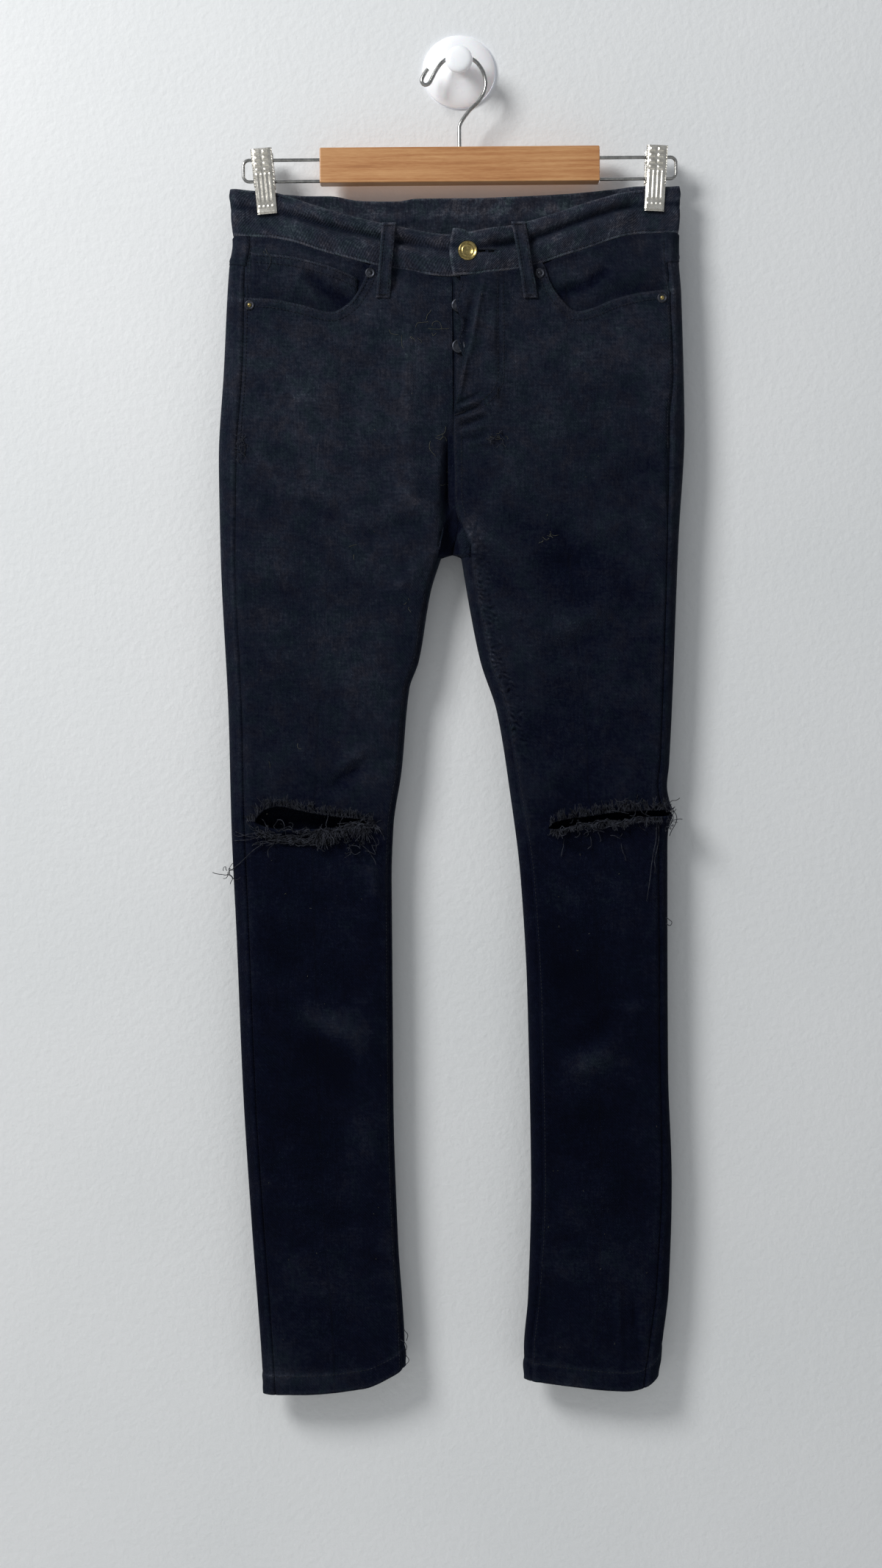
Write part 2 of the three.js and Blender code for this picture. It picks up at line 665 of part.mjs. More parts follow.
const FRAY_DEPTH = 1.2;
const FRAY = {
  right_fray_upper: { side: 'right', edge: RIP_UPPER, span: [-190, -90], above: 7, below: -3 },
  right_fray_lower: { side: 'right', edge: RIP_LOWER, span: [-180, -92], above: 2, below: -15 },
  left_fray_upper: { side: 'left', edge: RIP_UPPER, span: [86, 162], above: 9, below: -2 },
  left_fray_lower: { side: 'left', edge: RIP_LOWER, span: [86, 160], above: 1, below: -6 },
};

function fray({ side, edge, span, above, below }) {
  return wall(evenly(8, ...span), [0, 1], (x, row, outside) => {
    const z = edge[side](x) + (row === 0 ? above : below);
    return on(-1, x, z, GAP + outside * FRAY_DEPTH);
  });
}

function addFray() {
  Object.entries(FRAY).forEach(([name, strip]) => add(name, 'thread', fray(strip)));
}

// Hanger: wooden bar, steel hook, a wire frame at each end, and a clip on each frame

function bore(radius, length, x, z, alongX) {
  const geometry = new THREE.CylinderGeometry(radius, radius, length, 12);
  if (alongX) geometry.rotateZ(Math.PI / 2);
  if (!alongX) geometry.rotateX(Math.PI / 2);
  geometry.translate(x, MID, z);
  return geometry;
}

function bar() {
  const { width, height, depth, top, edge } = BAR;
  const radius = BAR.corner;
  const w = width / 2 - edge;
  const h = height / 2 - edge;
  const shape = new THREE.Shape();
  shape.moveTo(-w + radius, -h);
  shape.lineTo(w - radius, -h).absarc(w - radius, -h + radius, radius, -Math.PI / 2, 0);
  shape.lineTo(w, h - radius).absarc(w - radius, h - radius, radius, 0, Math.PI / 2);
  shape.lineTo(-w + radius, h).absarc(-w + radius, h - radius, radius, Math.PI / 2, Math.PI);
  shape.lineTo(-w, -h + radius).absarc(-w + radius, -h + radius, radius, Math.PI, 1.5 * Math.PI);
  const solid = new THREE.ExtrudeGeometry(shape, {
    depth: depth - 2 * edge, bevelSize: edge, bevelThickness: edge, bevelSegments: 2, curveSegments: 3,
  });
  solid.rotateX(Math.PI / 2);
  solid.translate(0, MID + depth / 2 - edge, top - height / 2);
  const sockets = [-1, 1].flatMap((sign) => [RODS.upper, RODS.lower].map((z) => (
    bore(RODS.radius + GAP, 2 * RODS.socket, (sign * width) / 2, z, true))));
  return cut(solid, bore(HOOK_RADIUS + GAP, 50, 0, top, false), ...sockets);
}

// The hook's wire rises from the bar, rounds the peg's neck and ends in a tip folded back outwards.
const HOOK_ROUTE = [
  [0, -98], [0, -76], [0, -60], [1, -53], [8.5, -42], [17.5, -33], [22.6, -24], [23.6, -16], [21, -6.5],
  [15, 1.8], [7.5, 5.8], [0, 6.9], [-8, 5.6], [-15, 1], [-20, -5.5], [-23.5, -12], [-26.5, -17.2],
  [-30.5, -18.4], [-33, -15], [-31, -9.5], [-27.5, -4.5],
];

function hook() {
  const route = new THREE.CatmullRomCurve3(HOOK_ROUTE.map(([x, z]) => new THREE.Vector3(x, MID, z)));
  return closed(tube(route, HOOK_RADIUS, 8, 46));
}

function rods(side) {
  const sign = SIGN[side];
  const inside = sign * (BAR.width / 2 - RODS.socket + 1);
  const end = sign * RODS.end;
  const corner = RODS.bend;
  const at = (x, z) => new THREE.Vector3(x, MID, z);
  const path = new THREE.CurvePath();
  path.add(new THREE.LineCurve3(at(inside, RODS.upper), at(end - sign * corner, RODS.upper)));
  path.add(new THREE.QuadraticBezierCurve3(
    at(end - sign * corner, RODS.upper), at(end, RODS.upper), at(end, RODS.upper - corner)));
  path.add(new THREE.LineCurve3(at(end, RODS.upper - corner), at(end, RODS.lower + corner)));
  path.add(new THREE.QuadraticBezierCurve3(
    at(end, RODS.lower + corner), at(end, RODS.lower), at(end - sign * corner, RODS.lower)));
  path.add(new THREE.LineCurve3(at(end - sign * corner, RODS.lower), at(inside, RODS.lower)));
  return closed(tube(path, RODS.radius, 8, 40));
}

// A pressed-steel jaw, drawn as its side profile: [distance from the middle plane, height over
// the pivot]. It has a rolled lip at the foot and two side flanges above the cloth.
const JAW = { width: 17.5, pivot: -98, flange: 1 };
const JAW_OUTSIDE = [[10, 22], [9.2, 8], [7.5, -4], [5.9, -20], [4.8, -32], [5.4, -33.7], [6.8, -33.9]];
const JAW_INSIDE = [[6.8, -35.1], [4.3, -35.1], [3.7, -32], [4.8, -20], [6.3, -4], [8, 8], [8.8, 22]];
const JAW_FLANGE = [[9, 20], [8.4, 8], [6.9, -4], [6.1, -11], [5, -11], [4.4, -4], [4.4, 8], [6.6, 20]];

function extrudeAcross(points, width, face) {
  const shape = new THREE.Shape(points.map(([out, up]) => new THREE.Vector2(out * face, up)));
  const geometry = new THREE.ExtrudeGeometry(shape, { depth: width, bevelEnabled: false });
  geometry.translate(0, 0, -width / 2);
  geometry.rotateX(Math.PI / 2).rotateZ(Math.PI / 2);
  return geometry;
}

function jaw(side, face) {
  const plate = extrudeAcross([...JAW_OUTSIDE, ...JAW_INSIDE], JAW.width, face);
  const flanges = [-1, 1].map((sign) => {
    const flange = extrudeAcross(JAW_FLANGE, JAW.flange, face);
    flange.translate((sign * (JAW.width - JAW.flange)) / 2, 0, 0);
    return flange;
  });
  const solid = join(plate, ...flanges);
  solid.rotateY(THREE.MathUtils.degToRad(CLIP_LEAN[side]) * SIGN[side]);
  solid.translate(CLIP_X[side], MID, JAW.pivot);
  return solid;
}

const SPRING = { inner: 1.9, outer: 3.5, half: 5.5 };

function spring(side) {
  const { inner, outer, half } = SPRING;
  const profile = [[inner, -half], [outer, -half], [outer, half], [inner, half], [inner, -half]];
  const geometry = new THREE.LatheGeometry(profile.map(([r, h]) => new THREE.Vector2(r, h)), 14);
  geometry.rotateZ(Math.PI / 2);
  geometry.translate(CLIP_X[side], MID, RODS.lower);
  return closed(geometry);
}

// Peg: a flat back on the wall, a conical front, a neck for the hook and a round knob
const PEG = [
  [0, 0], [32.5, 0], [32.5, 3], [24, 7], [11, 10.5], [6.5, 13], [PEG_NECK, 17], [PEG_NECK, 30], [7, 32],
  [11, 33.5], [12, 35.5], [11, 38], [8, 39.5], [0, 40],
];

function addHanger() {
  add('wall_peg', 'plastic', turned(PEG, 0, 0, 0, 28));
  add('hanger_bar', 'wood', bar());
  add('hanger_hook', 'nickel', hook());
  ['right', 'left'].forEach((side) => {
    add(`${side}_wire_frame`, 'nickel', rods(side));
    add(`${side}_clip_front_jaw`, 'nickel', jaw(side, -1));
    add(`${side}_clip_back_jaw`, 'nickel', jaw(side, 1));
    add(`${side}_clip_spring`, 'nickel', spring(side));
  });
}

addPanels();
addWaist();
addPockets();
addFly();
addFray();
addHanger();

export default jeans;
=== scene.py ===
import math

import bmesh
import bpy
import numpy as np
from mathutils import Matrix, Vector


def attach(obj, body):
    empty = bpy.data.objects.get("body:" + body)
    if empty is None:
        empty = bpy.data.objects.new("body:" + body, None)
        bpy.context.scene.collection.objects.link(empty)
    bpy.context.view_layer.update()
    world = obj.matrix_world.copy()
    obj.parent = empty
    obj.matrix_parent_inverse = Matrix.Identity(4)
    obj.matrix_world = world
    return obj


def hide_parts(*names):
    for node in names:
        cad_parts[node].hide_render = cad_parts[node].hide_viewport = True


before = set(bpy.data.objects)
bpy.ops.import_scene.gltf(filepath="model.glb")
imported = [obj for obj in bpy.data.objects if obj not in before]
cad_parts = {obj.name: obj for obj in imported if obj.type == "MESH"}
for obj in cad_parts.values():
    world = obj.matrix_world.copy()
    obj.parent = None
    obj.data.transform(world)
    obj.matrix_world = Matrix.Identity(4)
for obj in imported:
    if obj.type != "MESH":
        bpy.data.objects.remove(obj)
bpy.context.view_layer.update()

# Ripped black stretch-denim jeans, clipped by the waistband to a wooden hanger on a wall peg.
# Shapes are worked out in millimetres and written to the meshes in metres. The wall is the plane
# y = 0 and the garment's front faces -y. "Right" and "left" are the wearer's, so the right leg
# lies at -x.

MM = 0.001

# Camera, level with the knees, a little under two metres from the cloth

CAMERA_AT = Vector((-0.0208, -1.949, -0.6365))
CAMERA_ROLL = math.radians(0.45)

lens = bpy.data.cameras.new("camera")
lens.lens = 50
lens.sensor_width = 36
lens.clip_start = 0.05
lens.clip_end = 30
camera = bpy.data.objects.new("camera", lens)
bpy.context.scene.collection.objects.link(camera)
camera.matrix_world = Matrix.Translation(CAMERA_AT) @ Matrix.Rotation(CAMERA_ROLL, 4, "Y") @ Matrix.Rotation(
    math.pi / 2, 4, "X")
bpy.context.scene.camera = camera

# Curves and falloffs, on single numbers or on whole arrays


def ramp(value, start, end):
    share = np.clip((value - start) / (end - start), 0, 1)
    return share * share * (3 - 2 * share)


def bell(value, centre, reach):
    return np.exp(-(((value - centre) / reach) ** 2))


def plateau(value, centre, flat, reach):
    return 1 - ramp(np.abs(value - centre), flat, reach)


def lerp(start, end, share):
    return start + (end - start) * share


def through(*pairs):
    """A smooth curve through (position, value) pairs that never overshoots them."""
    places, values = np.array(sorted(pairs), float).T
    slopes = np.diff(values) / np.diff(places)
    before, after = np.append(slopes[:1], slopes), np.append(slopes, slopes[-1:])
    same_way = before * after > 0
    tangents = np.where(same_way, 2 * before * after / np.where(same_way, before + after, 1), 0)

    def curve(position):
        position = np.clip(position, places[0], places[-1])
        i = np.clip(np.searchsorted(places, position, side="right") - 1, 0, len(places) - 2)
        span = places[i + 1] - places[i]
        t = (position - places[i]) / span
        start = (1 + 2 * t) * (1 - t) ** 2 * values[i] + t * (1 - t) ** 2 * span * tangents[i]
        return start + t * t * (3 - 2 * t) * values[i + 1] + t * t * (t - 1) * span * tangents[i + 1]

    return curve


# The hung form, as the frame has it

MID = -24
FOLD = 13
CROTCH = -434
SADDLE_FOOT = -437.5
HEM_LEVEL = -1173
WAIST_LEVEL = -152
YOKE_LEVEL = -176
FLY_END = -312
FLY_RISE = 4.4
TAB_END = -6.5
TAB_BOW = 3.2
PINCHED = 3.25
HALF_FOLD = 12  # cloth from the edge of the flat to the middle of the outer fold
DENIM = 1.2
BAND = 2.4
LOOP_WALL = 1.7
FACING_WALL = 1.1
PATCH_WALL = 1.3
SHIELD_WALL = 1.4
FAR = 99
SIGN = {"right": -1, "left": 1}

OUTER = {
    "right": through(
        (-110, -204), (-158, -201), (-180, -204.5), (-271, -210), (-351, -215), (-434, -214),
        (-580, -208), (-668, -206.5), (-772, -202.5), (-904, -198), (-1028, -191), (-1115, -185),
        (-1173, -181.5)),
    "left": through(
        (-110, 195), (-172, 193), (-205, 195), (-321, 197), (-421, 191), (-621, 181), (-640, 179),
        (-659, 181.5), (-691, 179), (-890, 178), (-985, 180.5), (-1084, 177), (-1124, 172), (-1165, 166)),
}
LEG_INNER = {
    "right": through(
        (-434, -18), (-467, -28.5), (-528, -39.5), (-552, -48), (-625, -55.5), (-673, -63),
        (-723, -65), (-913, -65), (-1036, -62), (-1122, -57), (-1150, -56.5)),
    "left": through(
        (-434, -2), (-489, 7), (-529, 15), (-573, 29), (-644, 40), (-722, 49), (-823, 54),
        (-984, 56), (-1090, 52.5), (-1137, 48.5), (-1162, 49)),
}
CENTRE = through((-110, -5), (-190, -7.5), (-385, -7.5), (-406, -4), (-434, -9))
SIDE_SEAM = {
    "right": through((-153, 14), (-280, 17.5), (-351, 16.5), (-462, 13.5), (-800, 12), (-1173, 11)),
    "left": through((-153, 12), (-271, 10.5), (-321, 14), (-465, 10), (-673, 8.5), (-874, 7.5), (-1100, 12)),
}
FRONT_EDGE = {
    "right": through((-153, 0.15), (-392, 0.15), (-402, 9), (-414, 13.5), (-434, 12.5), (-437.5, 3), (-470, 2.5),
                     (-1173, 2.5)),
    "left": through(
        (-190, 7.3), (-195, 7.5), (-212, 3), (-234, 8.1), (-246, 3.8), (-261, 8.7), (-297, 2.5), (-312, 0.15),
        (-398, 0.15), (-411, 5), (-434, 15), (-437.5, 9), (-456, 7), (-600, 7), (-724, 9.5), (-984, 10),
        (-1130, 6.5)),
}
BAND_TOP = {
    "front": through(
        (-204, -110), (-165, -113), (-134, -124), (-95, -136), (-56, -145), (-7, -153), (28, -148),
        (59, -142), (117, -124), (162, -113), (195, -110)),
    "back": through((-204, -110), (-162, -113.8), (-116, -114.1), (-89, -118.5), (-55, -119.2), (-38, -116.9),
                    (9, -116.8), (90, -114), (165, -109), (195, -110)),
}
BAND_BOTTOM = {
    "front": through(
        (-204, -152), (-168, -154), (-111, -170), (-58, -183), (-8, -190), (50, -184), (102, -169),
        (160, -153), (195, -152)),
    "back": through((-204, -152), (-120, -156), (-5, -160), (110, -156), (195, -152)),
}
YOKE_SEAM = through((-204, -176), (-120, -194), (-5, -216), (110, -194), (195, -176))
HEM_EDGE = {
    "right": through((-182, -1173), (-152, -1173), (-94, -1168.5), (-68, -1158), (-57, -1150)),
    "left": through((50, -1162), (93, -1168), (141, -1172.5), (153, -1170), (166, -1161), (172, -1148)),
}
POCKET_MOUTH = {
    "right": through((-79, -178), (-88, -198), (-99, -213), (-114, -220.5), (-141, -214), (-169, -208.5),
                     (-205, -206)),
    "left": through((73, -178), (79.5, -197.5), (90, -212.5), (102, -222), (117, -218.5), (132, -212),
                    (161, -205), (200, -202)),
}
MOUTH_START = {"right": -79, "left": 73}
RIP_UPPER = {
    "right": through((-184, -668), (-182, -663), (-174, -657), (-164, -655), (-148, -658), (-132, -661.5),
                     (-108, -665), (-94, -666.5), (-84, -671)),
    "left": through((73, -676), (79.5, -670.5), (108, -665.7), (139, -662), (179, -660.7), (190, -660)),
}
RIP_LOWER = {
    "right": through((-184, -668.4), (-181, -671), (-172, -674), (-164, -675), (-135, -675.4), (-108, -673.5),
                     (-99, -670.6), (-84, -671.4)),
    "left": through((73, -676.4), (80, -677.2), (99, -673.2), (120, -670.6), (139, -670.2), (152, -667),
                    (167, -666.8), (190, -665)),
}
RIP_SPAN = {"right": (-184, -84), "left": (73, 190)}
RIP_ROWS = (-662, -672)
BULGE = through((-110, 8.5), (-200, 10), (-300, 11), (-434, 12), (-520, 11), (-660, 9.5), (-850, 10),
                (-1173, 8.5))


def half_depth(x, z):
    grip = plateau(x, -171, 13, 36) + plateau(x, 171, 13, 36)
    return lerp(BULGE(z), PINCHED, grip * ramp(z, -165, -136))


def closing(z):
    return ramp(-z, 395, -CROTCH)


def inner_edge(side, z):
    return np.where(z > CROTCH - 0.5, CENTRE(z), LEG_INNER[side](z))


def relief(x, z):
    """The fly stands proud of the front, and a trough runs down the centre seam."""
    fly = FLY_RISE * ramp(x, -12, -7) * ramp(-x, -46, -24) * ramp(z, FLY_END - 14, FLY_END + 20)
    trough = 5 * bell(x, -14, 7) * ramp(-z, 320, 390) * ramp(z, -445, -415)
    return np.where(x > CENTRE(z), fly, 0) - trough


def across(side, turn, z, lift):
    sign, shut = SIGN[side], closing(z)
    outer = OUTER[side](z) + sign * lift
    inner = inner_edge(side, z) - sign * lift * shut
    outer_fold, inner_fold = FOLD + lift, FOLD + lift * shut
    over_edge = outer - sign * outer_fold * (1 - np.cos(turn * math.pi / 2))
    flat = lerp(outer - sign * outer_fold, inner + sign * inner_fold, turn - 1)
    to_centre = inner + sign * inner_fold * (1 - np.sin((turn - 2) * math.pi / 2))
    return np.where(turn < 1, over_edge, np.where(turn < 2, flat, to_centre))


def turn_from_outer(side, z, distance):
    flat = np.abs(OUTER[side](z) - inner_edge(side, z)) - 2 * FOLD
    folded = np.arccos(np.clip(1 - distance / FOLD, -1, 1)) / (math.pi / 2)
    return np.where(distance < FOLD, folded, 1 + (distance - FOLD) / flat)


def turn_from_inner(side, z, distance):
    flat = np.abs(OUTER[side](z) - inner_edge(side, z)) - 2 * FOLD
    folded = 2 + np.arcsin(np.clip(1 - distance / FOLD, -1, 1)) / (math.pi / 2)
    return np.where(distance < FOLD, folded, 2 - (distance - FOLD) / flat)


# Creases: (x, z) of both ends, half width and height over the cloth

FRONT_CREASES = [
    # right thigh: pocket bag edge, drag lines from the crotch, slack over the knee
    (-48, -212, -46, -392, 3, 0.6), (-12, -322, -13.5, -406, 3.6, -2.6), (-19, -330, -24, -440, 4, 0.9),
    (-151, -386, -104, -401, 8, -1.3), (-62, -372, -20, -402, 8, 1.5),
    (-92, -420, -30, -404, 9, -1.5), (-150, -300, -110, -286, 12, 0.9), (-60, -468, -34, -440, 7, 1.2),
    (-180, -452, -120, -500, 12, -1.0), (-130, -520, -66, -560, 14, 1.0), (-121, -641, -84, -616, 6, -2.2),
    (-112, -624, -78, -600, 7, 1.3), (-165, -600, -120, -632, 13, 0.9),
    # left thigh: drag lines from the crotch and the inner seam
    (0, -404, 52, -446, 8, 1.6), (10, -428, 60, -486, 8, -1.7), (62, -452, 118, -436, 12, -1.6),
    (72, -506, 134, -480, 9, 1.6), (60, -528, 120, -512, 10, -1.2), (96, -426, 150, -398, 12, 1.1),
    (120, -560, 168, -600, 14, -0.9), (130, -372, 182, -352, 10, -1.0), (82, -410, 100, -436, 5, -1.0),
    (60, -640, 96, -612, 9, 1.0),
    # fly: the fold over the button stand and the wrinkles at its foot
    (20.4, -188, 7.5, -257, 2.0, 1.5), (7.5, -250, -3, -300, 2.2, 1.6), (14, -192, 1, -262, 3.4, -1.2),
    (30, -200, 12, -270, 4.5, -0.9), (-6, -304, 20, -293, 2.2, -1.0), (-5, -307, 17, -300, 2.2, 1.2),
    (-6, -312.5, 18, -305, 2.0, -1.2), (-4, -317, 22, -309, 2.2, 1.1), (-2, -322.5, 23, -314, 2.0, -1.1),
    (-4, -328, 26, -321, 2.6, 0.9), (-4, -334.5, 22, -332, 2.2, -0.9),
    (0, -338, 34, -335, 3, 0.8), (33, -190, 32.5, -276, 2.4, -0.9), (2, -228, 9, -232, 2, -0.8),
    (1, -266, 8, -270, 2, -0.8),
    # right calf
    (-152, -826, -84, -869, 10, 1.8), (-146, -850, -98, -900, 12, -1.9), (-104, -926, -70, -980, 11, 1.2),
    (-168, -742, -110, -764, 13, 0.9), (-178, -780, -140, -800, 9, -1.0), (-120, -1010, -74, -1040, 12, -1.1),
    (-164, -1060, -110, -1046, 12, 1.0), (-150, -1096, -84, -1110, 10, -0.9),
    (-97, -690, -78, -706, 5, -1.6), (-88, -684, -76, -742, 4, 1.0),
    # left calf
    (82, -899, 138, -863, 9, 1.9), (90, -874, 140, -836, 10, -1.8), (138, -838, 170, -828, 6, 1.2),
    (76, -812, 118, -800, 13, -1.5), (70, -950, 128, -926, 14, -1.2), (80, -1010, 140, -992, 14, 1.0),
    (-164, -902, -128, -898, 4, 0.9), (-170, -930, -136, -936, 4, -0.8), (-168, -962, -126, -958, 5, 0.8),
    (-166, -1004, -134, -1008, 4, 0.8), (76, -968, 112, -974, 4, 0.8), (74, -1040, 108, -1036, 5, -0.8),
    (131, -1070, 133, -1146, 3.5, 1.1), (146, -1084, 148, -1150, 3, -1.1), (152, -1096, 156, -1150, 3, 1.2),
    (70, -1080, 110, -1094, 11, -1.0), (98, -716, 150, -734, 12, 0.9), (84, -692, 120, -700, 5, -1.4),
]
BACK_CREASES = [
    # seat and the backs of the knees carry the deepest wear folds
    (-60, -300, -20, -420, 9, 1.4), (44, -300, 6, -420, 9, 1.4), (-150, -430, -60, -452, 10, 1.6),
    (52, -450, 150, -428, 10, 1.6), (-170, -470, -80, -486, 9, -1.6), (70, -488, 160, -470, 9, -1.6),
    (-190, -640, -90, -664, 8, -2.4), (-196, -668, -80, -650, 7, 2.2), (-186, -696, -84, -690, 8, -2.2),
    (-180, -724, -92, -716, 9, 1.6), (62, -648, 166, -630, 8, -2.4), (70, -656, 172, -672, 7, 2.2),
    (66, -700, 160, -688, 8, -2.2), (74, -730, 150, -722, 9, 1.6), (-170, -860, -90, -890, 12, 1.3),
    (76, -880, 150, -850, 12, 1.3), (-160, -560, -90, -590, 13, -1.0), (80, -590, 150, -560, 13, -1.0),
    (-150, -1000, -90, -1020, 12, -1.2), (80, -1020, 150, -1000, 12, -1.2),
]
CREASE_DEPTH = 1.9
# Short ripples down the outer edge of the right calf: levels, with 12 mm and more between them
EDGE_RIPPLES = (-826, -840, -853, -871, -884, -902, -934, -957, -972, -989)


def crease(x, z, x0, z0, x1, z1, width, height):
    length = math.hypot(x1 - x0, z1 - z0)
    along = ((x - x0) * (x1 - x0) + (z - z0) * (z1 - z0)) / length**2
    aside = ((x - x0) * (z1 - z0) - (z - z0) * (x1 - x0)) / length
    bowed = aside + 0.06 * length * (along - 0.5) ** 2
    return height * ramp(along, -0.12, 0.35) * ramp(1 - along, -0.12, 0.35) * np.exp(-((bowed / width) ** 2))


def slack(x, z):
    """The cloth never hangs quite flat: long shallow waves, a hand or so from crest to crest."""
    return (1.1 * np.sin(x / 23 + z / 61 + 1.3) * np.sin(z / 47 - x / 90)
            + 0.6 * np.sin(x / 13 - z / 35 + 0.4) * np.sin(z / 29 + 2.1)
            + 0.25 * np.sin(x / 6 + z / 16) * np.sin(z / 13 - x / 31 + 0.8))


def folds(face, x, z):
    """Height of the creases over the hung form."""
    height = slack(x + (face > 0) * 170, z)
    for front, creases in ((True, FRONT_CREASES), (False, BACK_CREASES)):
        here = (face < 0) == front
        height = height + np.where(here, CREASE_DEPTH * sum(crease(x, z, *each) for each in creases), 0)
    ripples = sum(crease(x, z, -196, level, -158, level - 5, 3.2, -0.9) for level in EDGE_RIPPLES)
    return height + ripples


def from_edges(x, z):
    """Distance from the nearest fold of the hung form."""
    outer = np.minimum(x - OUTER["right"](z), OUTER["left"](z) - x)
    right, left = LEG_INNER["right"](z) - x, x - LEG_INNER["left"](z)
    inner = np.where(z < CROTCH, np.maximum(right, left), FAR)
    return np.clip(np.minimum(outer, inner), 0, FAR)


def side_of(x, z):
    return np.where(x < CENTRE(z), -1, 1)


def by_side(curves, x, z, *values):
    return np.where(side_of(x, z) < 0, curves["right"](*values or (z,)), curves["left"](*values or (z,)))


def inseam_x(x, z):
    """X of the inner leg seam on the front, level by level."""
    right = inner_edge("right", z) - FRONT_EDGE["right"](z)
    left = inner_edge("left", z) + FRONT_EDGE["left"](z)
    return np.where(side_of(x, z) < 0, right, left)


def side_seam_x(x, z):
    right = OUTER["right"](z) + SIDE_SEAM["right"](z)
    left = OUTER["left"](z) - SIDE_SEAM["left"](z)
    return np.where(side_of(x, z) < 0, right, left)


def puckered(inward, z):
    """The inner seam on the left thigh is drawn up into small uneven bumps."""
    wander = 1.6 * np.sin(inward / 2.3 + z / 8) + 1.7 * np.sin(z / 5.3) + 0.8 * np.sin(z / 2.1 - inward / 1.3)
    uneven = np.sin(inward / 1.7 + 1.4 * np.sin(z / 3.1)) * np.sin(z / 4.7 + inward / 3)
    return np.sin(z / 0.78 + wander) * (0.35 + 0.65 * uneven)


def seams(face, x, z):
    """Seams pull the cloth into a fine groove, with a ridge of turned-in cloth and puckers beside it."""
    to_side = np.abs(x - side_seam_x(x, z))
    height = 0.5 * bell(to_side, 3.4, 2.2) - 0.5 * bell(to_side, 0, 1.3)
    inward = (x - inseam_x(x, z)) * side_of(x, z)
    below = ramp(-z, 402, 412)
    left_thigh = ramp(x, -8, 2) * ramp(z, -640, -580)
    inseam = 0.7 * bell(inward, 3.6, 2.4) - 0.4 * bell(inward, 0, 1.3)
    inseam = inseam + (0.2 + 1.3 * left_thigh) * puckered(inward, z) * plateau(inward, 9, 5, 9)
    centre = x - CENTRE(z)
    seat = ramp(-z, 312, 322) * ramp(z, -420, -404)
    fly_seam = (0.6 * bell(centre, 3.5, 2.4) - 0.9 * bell(centre, 0, 1.4)) * seat
    front = height + below * inseam + fly_seam
    centre_back = (0.5 * bell(np.abs(centre), 3.5, 2.2) - 0.9 * bell(centre, 0, 1.3)) * ramp(z, -430, -420)
    yoke = z - YOKE_SEAM(x)
    yoke_seam = 0.6 * bell(yoke, 3.5, 2.4) - 0.9 * bell(yoke, 0, 1.3)
    return np.where(face < 0, front, centre_back + yoke_seam)


def hem_relief(x, z):
    """The turned-up hem stands over the leg and ropes on the slant where it was stitched."""
    edge = by_side(HEM_EDGE, x, z, x)
    up = z - edge
    rope = np.sin(x / 2.1 + up / 3.2)
    return 0.8 * ramp(-up, -19, -17) - 0.5 * bell(up, 17.5, 1.4) + 0.35 * rope * bell(up, 9, 8) * ramp(-z, 1120, 1140)


def rip_relief(face, x, z):
    """The torn edges at the knees curl away from the leg."""
    over = z - by_side(RIP_UPPER, x, z, x)
    under = by_side(RIP_LOWER, x, z, x) - z
    torn = np.where(side_of(x, z) < 0, plateau(x, -137, 44, 58), plateau(x, 138, 52, 68))
    lip = 2.2 * bell(over, 0, 5) * (over > -1) + 2.6 * bell(under, 0, 6) * (under > -1)
    wave = 1 + 0.35 * np.sin(x / 5.3) + 0.2 * np.sin(x / 2.3 + 1)
    return np.where(face < 0, lip * torn * wave, 0)


def surface(face, x, z):
    """Everything that stands over the plain hung form, in millimetres."""
    near_fold = ramp(from_edges(x, z), 0, 16)
    below_band = ramp(-z, 130, 215)
    shaped = folds(face, x, z) * near_fold * below_band
    leg = ramp(-z, 1080, 1120)
    return shaped + seams(face, x, z) * ramp(-z, 150, 175) + hem_relief(x, z) * leg + rip_relief(face, x, z)


def unwrapped(turn):
    return np.where(turn < -3, turn + 6, turn)


def place(side, turn, z, lift=0.0, bare=False):
    """A point of the cloth's outside. Turns run 0 to 3 from the outer fold to the inner one, with
    negative turns on the back, and a turn past -3 has come round the inner fold to the front."""
    turn = unwrapped(turn)
    face = np.where(turn >= 0, -1, 1)
    reach = np.abs(turn)
    if not bare:
        lift = lift + surface(face, across(side, reach, z, 0), z)
    x = across(side, reach, z, lift)
    past = np.clip(reach, 2, 3) - 2
    rounded = np.sqrt(np.clip(1 - closing(z) * np.sin(past * math.pi / 2) ** 2, 0, 1))
    rounded = np.where(reach < 1, np.sin(np.clip(reach, 0, 1) * math.pi / 2), rounded)
    raised = np.where(face < 0, relief(x, z), 0)
    return x, MID + face * ((half_depth(x, z) + lift) * rounded + raised), z


def on(face, x, z, lift=0.0, bare=False):
    """A point on the front (face -1) or the back (face 1) of the cloth, at a given x and z."""
    x, z = np.asarray(x, float), np.asarray(z, float)
    right = side_of(x, z) < 0
    outer = np.where(right, OUTER["right"](z), OUTER["left"](z))
    inner = np.where(right, inner_edge("right", z), inner_edge("left", z))
    from_outer = np.clip(np.abs(x - outer) / FOLD, 0, 1)
    from_inner = np.clip(np.abs(x - inner) / FOLD, 0, 1)
    rounded = np.sqrt(1 - (1 - from_outer) ** 2) * np.sqrt(1 - closing(z) * (1 - from_inner) ** 2)
    if not bare:
        lift = lift + surface(face, x, z)
    raised = relief(x, z) if face < 0 else 0
    return x, MID + face * ((half_depth(x, z) + lift) * rounded + raised), z
